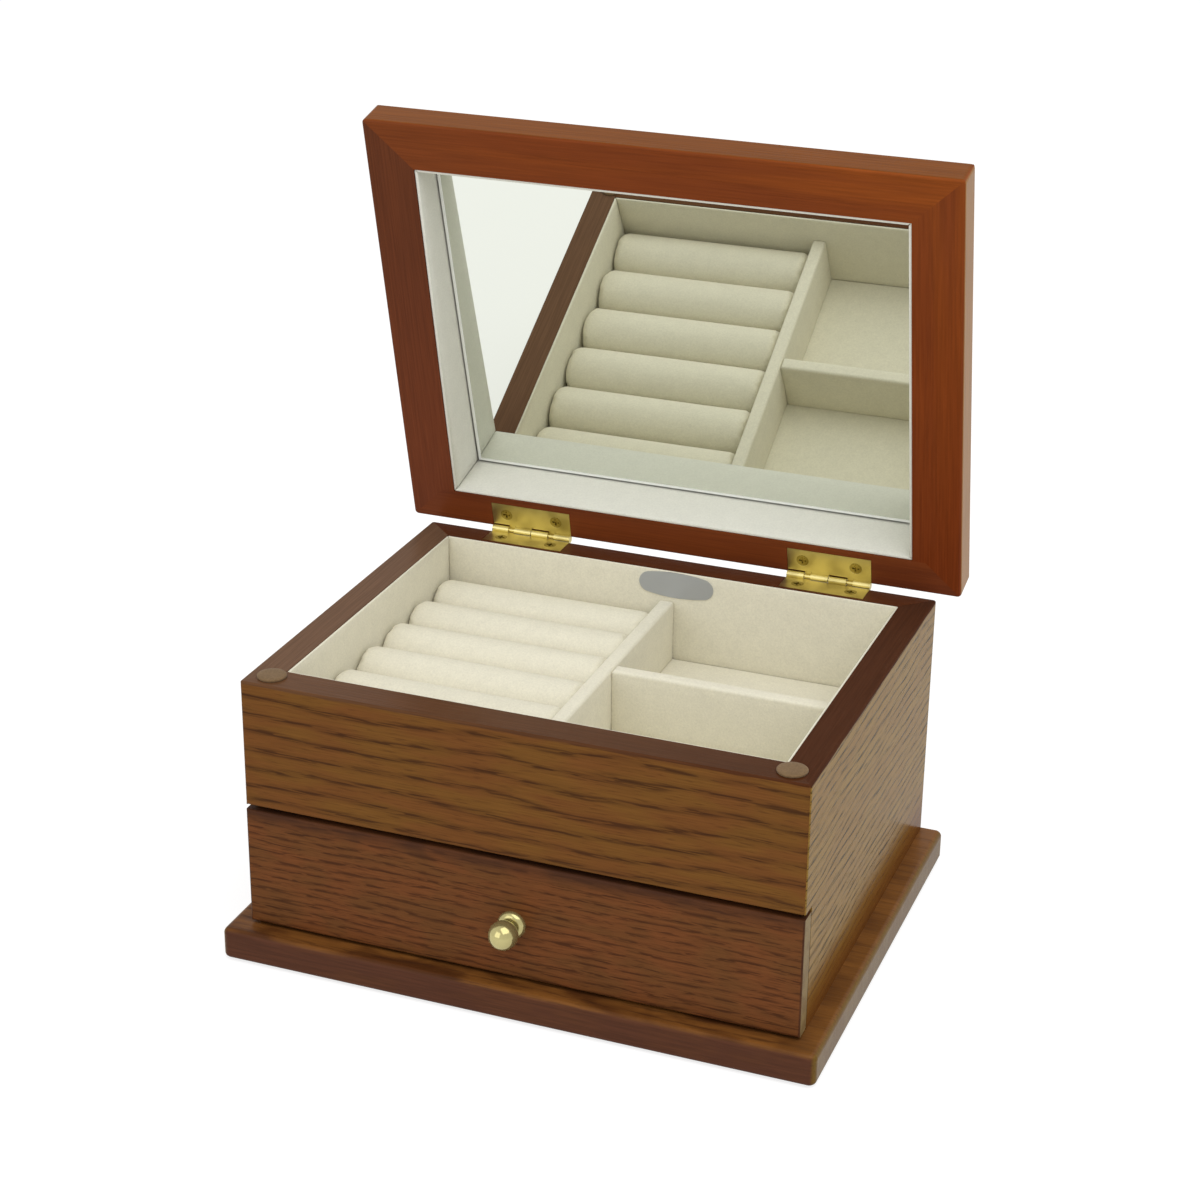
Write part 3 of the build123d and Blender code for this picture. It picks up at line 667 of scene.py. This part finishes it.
def round_edges(piece, radius, segments=3):
    """Rounds the sharp edges of a piece and smooths it."""
    bevel = piece.modifiers.new("folded_edges", "BEVEL")
    bevel.width = radius
    bevel.segments = segments
    bevel.limit_method = "ANGLE"
    bevel.angle_limit = SHARP_ANGLE
    bpy.ops.object.modifier_apply(modifier=bevel.name)
    bpy.ops.object.shade_smooth_by_angle(angle=SMOOTH_ANGLE)


def dress(piece, material, body, slot, *replaced):
    """Gives a finished piece its material and body, and hides the solids it stands for."""
    piece.data.materials.append(material)
    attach(piece, body)
    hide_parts(*replaced)


def shut_box(node):
    """Corners of a lid solid as it lies when the lid is shut."""
    points = [shutting @ vertex.co for vertex in frame["nodes"][node].data.vertices]
    return [Vector([corner(places) for places in zip(*points)]) for corner in (min, max)]


def lining_strip(name, low, high, inward):
    """Cloth over a card strip, mitred at its ends, with folded edges and a face that crowns slightly.

    inward is the direction from the wall into the well.
    """
    soft = bpy.context.scene.jewelry_soft
    piece = block(name, low, high)
    middle = (low + high) / 2
    run = 0 if inward.y else 1
    thickness = abs((high - low).dot(inward))
    run_length = (high - low)[run]
    shrink = [1.0, 1.0, 1.0]
    shrink[run] = (run_length - 2 * thickness) / run_length
    bpy.ops.object.mode_set(mode="EDIT")
    pick("VERT", lambda vertex: (vertex.co - middle).dot(inward) > 0)
    bpy.ops.transform.resize(value=shrink, center_override=middle)
    pick("FACE", lambda face: face.normal.dot(inward) > FACING)
    bpy.ops.mesh.inset(thickness=3 * thickness, depth=0)
    pick("VERT", lambda vertex: on_border(vertex, inward, middle, thickness))
    bpy.ops.transform.translate(value=-inward * soft.crown)
    bpy.ops.object.mode_set(mode="OBJECT")
    round_edges(piece, soft.edge_round)
    return piece


def on_border(vertex, inward, middle, thickness):
    """Whether a vertex is on the outer border of a strip's inner face."""
    on_face = (vertex.co - middle).dot(inward) > thickness / 2 - TOUCH
    return on_face and any(edge.calc_face_angle(0.0) > SHARP_ANGLE for edge in vertex.link_edges)


def make_lining(well, body, material, walls, box_of, place=None):
    """Lining strips at the front, the back, the left and the right of a well, each on its wall."""
    inward = {
        "front": Vector((0, 1, 0)),
        "back": Vector((0, -1, 0)),
        "left": Vector((1, 0, 0)),
        "right": Vector((-1, 0, 0)),
    }
    for (side, direction), wall in zip(inward.items(), walls):
        node = f"{well}_lining_{side}"
        low, high = box_of(node)
        strip = lining_strip(f"{node}_cloth", low, high, direction)
        if place is not None:
            strip.matrix_world = place
            apply_place()
        dress(strip, material, body, "cream_suede", node)


def laid_felt(name, low, high, ripple):
    """A sheet laid flat: its edge is turned a little down, and it ripples slightly."""
    soft = bpy.context.scene.jewelry_soft
    piece = block(name, low, high)
    cuts = 24
    bpy.ops.object.mode_set(mode="EDIT")
    pick("FACE", lambda face: face.normal.z > FACING)
    bpy.ops.mesh.inset(thickness=2 * soft.edge_round, depth=0)
    bpy.ops.mesh.subdivide(number_cuts=cuts)
    bpy.ops.object.mode_set(mode="OBJECT")
    group = piece.vertex_groups.new(name="middle")
    inside = [v.index for v in piece.data.vertices if inside_top(v.co, low, high, soft.edge_round)]
    group.add(inside, 1.0, "REPLACE")
    clouds = bpy.data.textures.new(f"{name}_ripple", "CLOUDS")
    clouds.noise_scale = RIPPLE_WIDTH
    wave = piece.modifiers.new("ripple", "DISPLACE")
    wave.texture = clouds
    wave.texture_coords = "LOCAL"
    wave.direction = "Z"
    wave.mid_level = 1.0
    wave.strength = ripple
    wave.vertex_group = group.name
    bpy.ops.object.modifier_apply(modifier=wave.name)
    piece.vertex_groups.clear()
    round_edges(piece, soft.edge_round / 2, segments=2)
    return piece


def inside_top(point, low, high, margin):
    """Whether a point is on the top of a sheet and away from its edge."""
    if point.z < high.z - margin / 10:
        return False
    return all(low[axis] + margin < point[axis] < high[axis] - margin for axis in (0, 1))


def lay_sheet(name, node, body, slot, material, ripple):
    """A sheet in place of its flat solid, laid on a board."""
    low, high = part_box(node)
    sheet = laid_felt(name, low, high, ripple)
    dress(sheet, material, body, slot, node)


def line_well(well, body, material, walls):
    """Lines the walls and the floor of a well that lies level."""
    make_lining(well, body, material, walls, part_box)
    floor = f"{well}_floor_cloth"
    lay_sheet(floor, f"{well}_floor_felt", body, "cream_suede", material, FLOOR_RIPPLE)


# Operators


class JEWELRYBOX_OT_case(bpy.types.Operator):
    """Veneers the case and stains its sawn top edges, with painted sheen and shade on the rims and painted
    sheen and reflection on the sides
    """

    bl_idname = "jewelry_box.case"
    bl_label = "Case veneer"

    def execute(self, context):
        wood = context.scene.jewelry_wood
        face = (wood.veneer, wood.veneer_warm, wood.veneer_streak)
        # The side colours carry a painted sheen over the brown stain
        side = (wood.veneer_side_with_painted_sheen, wood.veneer_side_warm_with_painted_sheen, wood.side_streak)
        bold = {"line": 0.3, "thread": 0.3, "specks": 0.4, "streak": 0.85, "pore_width": 0.75}
        bold.update(wander=2.0, roughness=0.32, specular=0.05)
        fine = {"line": 0.28, "thread": 0.1, "specks": 0.45, "streak": 1.0, "pore_width": 0.5}
        fine.update(wander=3.2, roughness=0.16, specular=0.02)
        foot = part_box("plinth")[1].z
        # Painted reflection of the plinth in a band along the foot of the sides
        band = {"where": "height", "low": foot + 0.026, "high": foot}
        fine["feet"] = [{**band, "colour": wood.side_foot_painted_reflection, "patchy": 0.0, "roughness": 0.16}]
        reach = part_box("upper_front_panel")[1].x
        # The front rim fades from painted light at the left to painted shade at the right
        fading = {"colour": wood.rim_front_right_painted_shade, "left_colour": wood.rim_front_left_painted_light, "reach": reach}
        plain = {"colour": wood.rim}
        # The right rim is darker as painted shade, and the left rim greyer as painted sheen
        dark = {"colour": wood.rim_right_painted_shade, "roughness": 0.55}
        grey = {"colour": wood.rim_left_painted_sheen}
        wide = wood.veneer_spacing
        close = wood.side_spacing
        panels = {
            "upper_front_panel": ("front", LONG_ON_X, (31.0, 0.0, 2.0), face, wide, fading, bold),
            "back_panel": ("back", LONG_ON_X, (-230.0, 40.0, 9.0), face, wide, plain, bold),
            "side_panel_left": ("left", LONG_ON_Y, (120.0, 0.0, 5.0), side, close, grey, fine),
            "side_panel_right": ("right", LONG_ON_Y, (0.0, 90.0, 0.0), side, close, dark, fine),
        }
        for node, (end, *grain, looks) in panels.items():
            assign(case_veneer(f"stained_ash_veneer_{end}", *grain, **looks), node)
        assign(plain_board("sanded_tray_board", LONG_ON_X, "Y"), "tray_floor_board")
        return {"FINISHED"}


class JEWELRYBOX_OT_plinth(bpy.types.Operator):
    """Stains the top and the edges of the plinth"""

    bl_idname = "jewelry_box.plinth"
    bl_label = "Plinth stain"

    def execute(self, context):
        assign(plinth_wood("stained_plinth_board"), "plinth")
        return {"FINISHED"}


class JEWELRYBOX_OT_drawer(bpy.types.Operator):
    """Veneers the drawer front and leaves the drawer box bare"""

    bl_idname = "jewelry_box.drawer"
    bl_label = "Drawer wood"

    def execute(self, context):
        assign(drawer_veneer("stained_ash_drawer_veneer", LONG_ON_X, (0.0, 60.0, 0.0)), "drawer_front")
        assign(plain_board("sanded_drawer_board", LONG_ON_X, "Z"), "drawer_back")
        side_board = plain_board("sanded_drawer_side", LONG_ON_Y, "Z")
        assign(side_board, "drawer_side_left", "drawer_side_right")
        assign(plain_board("sanded_drawer_bottom", LONG_ON_X, "Y"), "drawer_bottom")
        return {"FINISHED"}


class JEWELRYBOX_OT_lid(bpy.types.Operator):
    """Stains the lid frame along each of its members, and its top panel, with painted light, highlight and
    sheen on some faces
    """

    bl_idname = "jewelry_box.lid"
    bl_label = "Lid wood"

    # Where the stain of the left corner begins, and where it is full
    corner_begins = -0.045
    corner_full = -0.1

    def execute(self, context):
        wood = context.scene.jewelry_wood
        stain = (wood.lid, wood.lid_dark)
        left_stain = (wood.lid_left, wood.lid_left_dark)
        low_stain = (wood.lid_low, wood.lid_low_dark)
        even = {"patchy": 0.0, "roughness": 0.3}
        # Outer sides of the stiles: paler stain with a painted sheen
        outer = {**even, "where": "side", "low": 0.7, "high": 0.95, "colour": wood.lid_end_stain_and_sheen}
        foot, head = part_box("lid_stile_right")
        # Along the stiles towards the hinge: the left is painted lighter as painted light, and the right
        # turns darker
        lower = {**even, "where": "height", "low": head.z, "high": foot.z}
        left_low = {**lower, "colour": wood.lid_left_low_painted_light}
        # Upper side of the front rail: stain with a painted highlight
        crown = {**outer, "where": "up", "colour": wood.lid_crown_stain_and_highlight}
        corner = {**lower, "where": "right", "colour": wood.lid_corner}
        corner.update(low=self.corner_begins, high=self.corner_full)
        right_low = {**lower, "colour": wood.lid_right_low}
        boards = {
            "lid_front_rail": (LID_LONG_ON_X, (0.0, 0.0, 0.0), stain, (corner, crown)),
            "lid_hinge_rail": (LID_LONG_ON_X, (70.0, 20.0, 0.0), low_stain, ()),
            "lid_stile_left": (LID_LONG_ON_Y, (0.0, 10.0, 0.0), left_stain, (left_low, outer)),
            "lid_stile_right": (LID_LONG_ON_Y, (0.0, 0.0, 30.0), stain, (right_low, outer)),
            "lid_top_panel": (LID_LONG_ON_X, (0.0, 0.0, 60.0), stain, ()),
        }
        for node, (turn, shift, colours, faces) in boards.items():
            assign(lid_wood(f"lacquered_{node}", turn, shift, colours, faces), node)
        assign(plain_board("sanded_mirror_backing", LID_LONG_ON_X, "Y"), "mirror_backing")
        return {"FINISHED"}


class JEWELRYBOX_OT_brass(bpy.types.Operator):
    """Finishes the hinges, their screws and the knob in brass, and the hidden screws in zinc"""

    bl_idname = "jewelry_box.brass"
    bl_label = "Brass and zinc"

    def execute(self, context):
        metal = context.scene.jewelry_metal
        leaf = brass("drawn_brass_leaf", metal.leaf_brass, along=9.0, over=0.25, roughness=0.34, dull=0.45)
        cloudy = {"roughness": 0.12, "dull": 0.2, "metallic": 0.72}
        turned = brass("polished_brass_knob", metal.brass, along=0.3, over=3.0, **cloudy)
        screw = brass("brass_plated_screw", metal.screw_brass, along=0.6, over=0.6, roughness=0.3, dull=0.4)
        assign(leaf, "hinge_leaf_rim_left", "hinge_leaf_rim_right")
        assign(leaf, "hinge_leaf_lid_left", "hinge_leaf_lid_right")
        assign(leaf, "hinge_pin_left", "hinge_pin_right")
        assign(turned, "drawer_knob")
        assign(screw, "hinge_screws_rim", "hinge_screws_lid")
        assign(zinc_plate("zinc_plated_steel"), "plinth_screws", "knob_screw")
        return {"FINISHED"}


class JEWELRYBOX_OT_mirror(bpy.types.Operator):
    """Silvers the mirror and brushes the blank label"""

    bl_idname = "jewelry_box.mirror"
    bl_label = "Mirror and label"

    def execute(self, context):
        assign(silvered_glass("silvered_mirror_glass"), "mirror")
        assign(satin_foil("satin_label_foil"), "label_plate")
        return {"FINISHED"}


class JEWELRYBOX_OT_ring_rolls(bpy.types.Operator):
    """Fills one cloth roll and lays copies of it side by side"""

    bl_idname = "jewelry_box.ring_rolls"
    bl_label = "Ring rolls"

    # The solver suits cushions, so the roll is filled at ten times its size
    enlarged = 10.0
    pressure = 4.0
    last_frame = 20
    end_round = 0.1
    turn_between = 67.0

    def fill(self, roll, cap):
        """Swells the roll with cloth simulation, moving no point further than the cap."""
        before = [vertex.co.copy() for vertex in roll.data.vertices]
        cloth = roll.modifiers.new("filling", "CLOTH")
        cloth.settings.use_pressure = True
        cloth.settings.uniform_pressure_force = self.pressure
        cloth.settings.effector_weights.gravity = 0.0
        cloth.point_cache.frame_start = 1
        cloth.point_cache.frame_end = self.last_frame
        for number in range(1, self.last_frame + 1):
            bpy.context.scene.frame_set(number)
        bpy.ops.object.modifier_apply(modifier=cloth.name)
        for vertex, start in zip(roll.data.vertices, before):
            move = vertex.co - start
            if move.length > cap:
                vertex.co = start + move * (cap / move.length)
        bpy.context.scene.frame_set(1)

    def first_roll(self, size, soft):
        """One roll along X about the origin, as large as its solid."""
        scale = self.enlarged
        swell = soft.roll_swell * scale
        radius = size.z / 2 * scale - swell / 2
        depth = size.x * scale - swell
        bpy.ops.object.select_all(action="DESELECT")
        bpy.ops.mesh.primitive_cylinder_add(
            vertices=ROUND_SIDES, radius=radius, depth=depth, rotation=(0.0, math.radians(90.0), 0.0)
        )
        roll = bpy.context.object
        apply_place()
        bpy.ops.object.mode_set(mode="EDIT")
        pick("EDGE", lambda edge: abs(edge.verts[0].co.x - edge.verts[1].co.x) < TOUCH)
        bpy.ops.mesh.bevel(offset=self.end_round * radius, segments=3)
        bpy.ops.object.mode_set(mode="OBJECT")
        remesh = roll.modifiers.new("cloth_mesh", "REMESH")
        remesh.mode = "VOXEL"
        remesh.voxel_size = soft.roll_voxel * scale
        bpy.ops.object.modifier_apply(modifier=remesh.name)
        self.fill(roll, swell)
        smooth = roll.modifiers.new("smoothed", "SUBSURF")
        smooth.levels = 1
        smooth.render_levels = 1
        bpy.ops.object.modifier_apply(modifier=smooth.name)
        bpy.ops.object.shade_smooth()
        roll.scale = [wanted / have for wanted, have in zip(size, roll.dimensions)]
        apply_place()
        return roll

    def execute(self, context):
        soft = context.scene.jewelry_soft
        suede = napped_cloth("brushed_suede_rolls", soft.suede)
        names = sorted(name for name in frame["nodes"] if name.startswith("ring_roll_"))
        low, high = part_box(names[0])
        pattern = self.first_roll(high - low, soft)
        felt_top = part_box("tray_floor_felt")[1].z
        for number, name in enumerate(names):
            low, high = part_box(name)
            roll = pattern.copy()
            roll.data = pattern.data.copy()
            roll.name = f"{name}_cushion"
            roll.data.name = roll.name
            context.collection.objects.link(roll)
            bpy.ops.object.select_all(action="DESELECT")
            roll.select_set(True)
            context.view_layer.objects.active = roll
            turn = math.radians(self.turn_between * number)
            roll.rotation_euler = (turn, 0.0, math.pi * (number % 2))
            roll.location = (low + high) / 2 - Vector((0.0, 0.0, low.z - felt_top))
            apply_place()
            for vertex in roll.data.vertices:
                vertex.co.z = max(vertex.co.z, felt_top)
            dress(roll, suede, "case", "cream_suede", name)
        bpy.data.objects.remove(pattern)
        return {"FINISHED"}


class JEWELRYBOX_OT_dividers(bpy.types.Operator):
    """Covers the two tray dividers in suede over thin foam"""

    bl_idname = "jewelry_box.dividers"
    bl_label = "Dividers"

    def execute(self, context):
        soft = context.scene.jewelry_soft
        suede = napped_cloth("brushed_suede_dividers", soft.suede)
        for name in ("long_divider", "cross_divider"):
            low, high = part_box(name)
            along_y = (high - low).y > (high - low).x
            thin = Vector((1, 0, 0)) if along_y else Vector((0, 1, 0))
            piece = block(f"{name}_board", low + thin * soft.crown, high - thin * soft.crown)
            bpy.ops.object.mode_set(mode="EDIT")
            pick("EDGE", lambda edge: all(vertex.co.z > high.z - TOUCH for vertex in edge.verts))
            bpy.ops.mesh.bevel(offset=soft.divider_round, segments=4)
            pick("FACE", lambda face: abs(face.normal.dot(thin)) > FACING)
            bpy.ops.mesh.inset(thickness=3 * soft.divider_round, depth=0, use_individual=True)
            bpy.ops.transform.shrink_fatten(value=soft.crown)
            bpy.ops.object.mode_set(mode="OBJECT")
            round_edges(piece, soft.edge_round)
            dress(piece, suede, "case", "cream_suede", name)
        return {"FINISHED"}


class JEWELRYBOX_OT_linings(bpy.types.Operator):
    """Lines the tray, the drawer and the recess round the mirror"""

    bl_idname = "jewelry_box.linings"
    bl_label = "Linings"

    def execute(self, context):
        soft = context.scene.jewelry_soft
        suede = napped_cloth("brushed_suede_tray", soft.suede)
        walls = ("upper_front_panel", "back_panel", "side_panel_left", "side_panel_right")
        line_well("tray", "case", suede, walls)
        suede = napped_cloth("brushed_suede_drawer", soft.suede)
        walls = ("drawer_front", "drawer_back", "drawer_side_left", "drawer_side_right")
        line_well("drawer", "drawer", suede, walls)
        # The lid's suede is the tray's, painted paler as painted light
        suede = napped_cloth("brushed_suede_lid", soft.lid_suede_painted_light, fleck=0.08)
        walls = ("lid_front_rail", "lid_hinge_rail", "lid_stile_left", "lid_stile_right")
        make_lining("lid", "lid", suede, walls, shut_box, shutting.inverted())
        return {"FINISHED"}


class JEWELRYBOX_OT_felts(bpy.types.Operator):
    """Makes the felt dots on the rim and the felt under the plinth"""

    bl_idname = "jewelry_box.felts"
    bl_label = "Felts"

    # Rings of faces on a dot, and its droop and rounding as shares of its thickness
    rings = 3
    droop = 0.2
    edge_share = 0.25

    def execute(self, context):
        soft = context.scene.jewelry_soft
        dot_felt = napped_cloth("pressed_felt_dot", soft.dot_felt, nap_width=0.5, fleck=0.3)
        low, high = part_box("bumper_pads")
        radius = (high.y - low.y) / 2
        thickness = high.z - low.z
        middle = (low + high) / 2
        for side, x in (("left", low.x + radius), ("right", high.x - radius)):
            bpy.ops.object.select_all(action="DESELECT")
            place = (x, middle.y, middle.z)
            bpy.ops.mesh.primitive_cylinder_add(
                vertices=ROUND_SIDES, radius=radius, depth=thickness, calc_uvs=False, location=place
            )
            dot = context.object
            dot.name = f"bumper_dot_{side}"
            dot.data.name = dot.name
            apply_place()
            bpy.ops.object.mode_set(mode="EDIT")
            pick("FACE", lambda face: face.normal.z > FACING)
            for _ in range(self.rings - 1):
                bpy.ops.mesh.inset(thickness=radius / self.rings, depth=0)
            pick("VERT", lambda vertex: on_rim(vertex.co, x, middle.y, radius, high.z))
            bpy.ops.transform.translate(value=(0.0, 0.0, -self.droop * thickness))
            bpy.ops.object.mode_set(mode="OBJECT")
            round_edges(dot, self.edge_share * thickness)
            dress(dot, dot_felt, "case", "brown_felt", "bumper_pads")
        base_felt = napped_cloth("pressed_felt_base", soft.base_felt, nap_width=0.6, fleck=0.3)
        lay_sheet("base_felt_sheet", "base_felt", "case", "brown_felt", base_felt, BASE_RIPPLE)
        return {"FINISHED"}


def on_rim(point, x, y, radius, top):
    """Whether a point is on the outer edge of a disc's top."""
    away = math.hypot(point.x - x, point.y - y)
    return point.z > top - TOUCH and away > radius - TOUCH


class JEWELRYBOX_OT_stage(bpy.types.Operator):
    """Sets the floor, the lights, the background and the camera"""

    bl_idname = "jewelry_box.stage"
    bl_label = "Stage"

    white = (1.0, 1.0, 1.0, 1.0)
    floor_size = 12.0
    shadow_grey = (0.35, 0.35, 0.35, 1.0)
    floor_glow = 0.76
    aim_point = (0.0, 0.0, 0.1)
    key_place = (0.55, -0.45, 1.5)
    key_size = 1.5
    fill_place = (-0.7, -1.5, 0.8)
    fill_size = 1.2
    sensor_width = 36.0
    nearest = 0.01

    def seen_share(self, add):
        """1 for what the camera sees, directly or in metal and glass, and 0 for light on the box."""
        path = add("LightPath").outputs
        direct = add("Math", {0: path["Is Camera Ray"], 1: path["Is Glossy Ray"]}, operation="MAXIMUM")
        return add("Math", {0: direct, 1: path["Is Transmission Ray"]}, operation="MAXIMUM")

    def make_floor(self, looks):
        """White floor that keeps a soft shadow."""
        bpy.ops.object.select_all(action="DESELECT")
        bpy.ops.mesh.primitive_plane_add(size=self.floor_size)
        floor = bpy.context.object
        floor.name = "floor"
        material, add = new_material("white_floor")
        lit = add("BsdfDiffuse", {"Color": looks.floor})
        half_lit = add("BsdfDiffuse", {"Color": self.shadow_grey})
        glow = add("Emission", {"Color": self.white, "Strength": self.floor_glow})
        seen = add("AddShader", {0: half_lit, 1: glow})
        share = self.seen_share(add)
        surface = add("MixShader", {0: share, 1: lit, 2: seen})
        add("OutputMaterial", {"Surface": surface})
        floor.data.materials.append(material)

    def make_background(self, looks):
        """Soft light from all round, seen as white."""
        world = bpy.data.worlds.new("white_studio")
        bpy.context.scene.world = world
        world.use_nodes = True
        world.node_tree.nodes.clear()
        add = partial(add_node, world.node_tree)
        light = add("Background", {"Color": self.white, "Strength": looks.ambient})
        white = add("Background", {"Color": self.white, "Strength": 1.0})
        share = self.seen_share(add)
        surface = add("MixShader", {0: share, 1: light, 2: white})
        add("OutputWorld", {"Surface": surface})

    def make_light(self, name, place, size, power):
        """Square soft light aimed at the box."""
        bpy.ops.object.light_add(type="AREA", location=place)
        light = bpy.context.object
        light.name = name
        light.data.shape = "SQUARE"
        light.data.size = size
        light.data.energy = power
        aim = Vector(self.aim_point) - Vector(place)
        light.rotation_euler = aim.to_track_quat("-Z", "Y").to_euler()

    def execute(self, context):
        looks = context.scene.jewelry_stage
        self.make_floor(looks)
        self.make_background(looks)
        self.make_light("overhead_light", self.key_place, self.key_size, looks.key_power)
        self.make_light("front_light", self.fill_place, self.fill_size, looks.fill_power)
        bpy.ops.object.camera_add(location=looks.camera_place, rotation=looks.camera_turn)
        camera = context.object
        camera.name = "photo_camera"
        camera.data.sensor_width = self.sensor_width
        camera.data.lens = looks.camera_lens
        camera.data.clip_start = self.nearest
        context.scene.camera = camera
        context.scene.view_settings.view_transform = "Standard"
        return {"FINISHED"}


operators = (
    JEWELRYBOX_OT_case,
    JEWELRYBOX_OT_plinth,
    JEWELRYBOX_OT_drawer,
    JEWELRYBOX_OT_lid,
    JEWELRYBOX_OT_brass,
    JEWELRYBOX_OT_mirror,
    JEWELRYBOX_OT_ring_rolls,
    JEWELRYBOX_OT_dividers,
    JEWELRYBOX_OT_linings,
    JEWELRYBOX_OT_felts,
    JEWELRYBOX_OT_stage,
)


class JEWELRYBOX_PT_looks(bpy.types.Panel):
    """Sidebar list of the box's pieces and finishes"""

    bl_idname = "JEWELRYBOX_PT_looks"
    bl_label = "Jewelry Box"
    bl_space_type = "VIEW_3D"
    bl_region_type = "UI"
    bl_category = "Jewelry Box"

    def draw(self, context):
        for operator in operators:
            self.layout.operator(operator.bl_idname)
        for looks in settings:
            group = getattr(context.scene, looks)
            box = self.layout.box()
            for name in group.__annotations__:
                box.prop(group, name)


settings = {
    "jewelry_wood": WoodLooks,
    "jewelry_soft": SoftLooks,
    "jewelry_metal": MetalLooks,
    "jewelry_stage": StageLooks,
}


def register():
    for group in settings.values():
        bpy.utils.register_class(group)
    for name, group in settings.items():
        setattr(bpy.types.Scene, name, PointerProperty(type=group))
    for operator in operators:
        bpy.utils.register_class(operator)
    bpy.utils.register_class(JEWELRYBOX_PT_looks)


def unregister():
    bpy.utils.unregister_class(JEWELRYBOX_PT_looks)
    for operator in reversed(operators):
        bpy.utils.unregister_class(operator)
    for name in settings:
        delattr(bpy.types.Scene, name)
    for group in reversed(list(settings.values())):
        bpy.utils.unregister_class(group)


def main():
    """Registers the looks and dresses the box, one operator after another."""
    register()
    for operator in operators:
        group, name = operator.bl_idname.split(".")
        getattr(getattr(bpy.ops, group), name)()


if __name__ == "__main__":
    main()
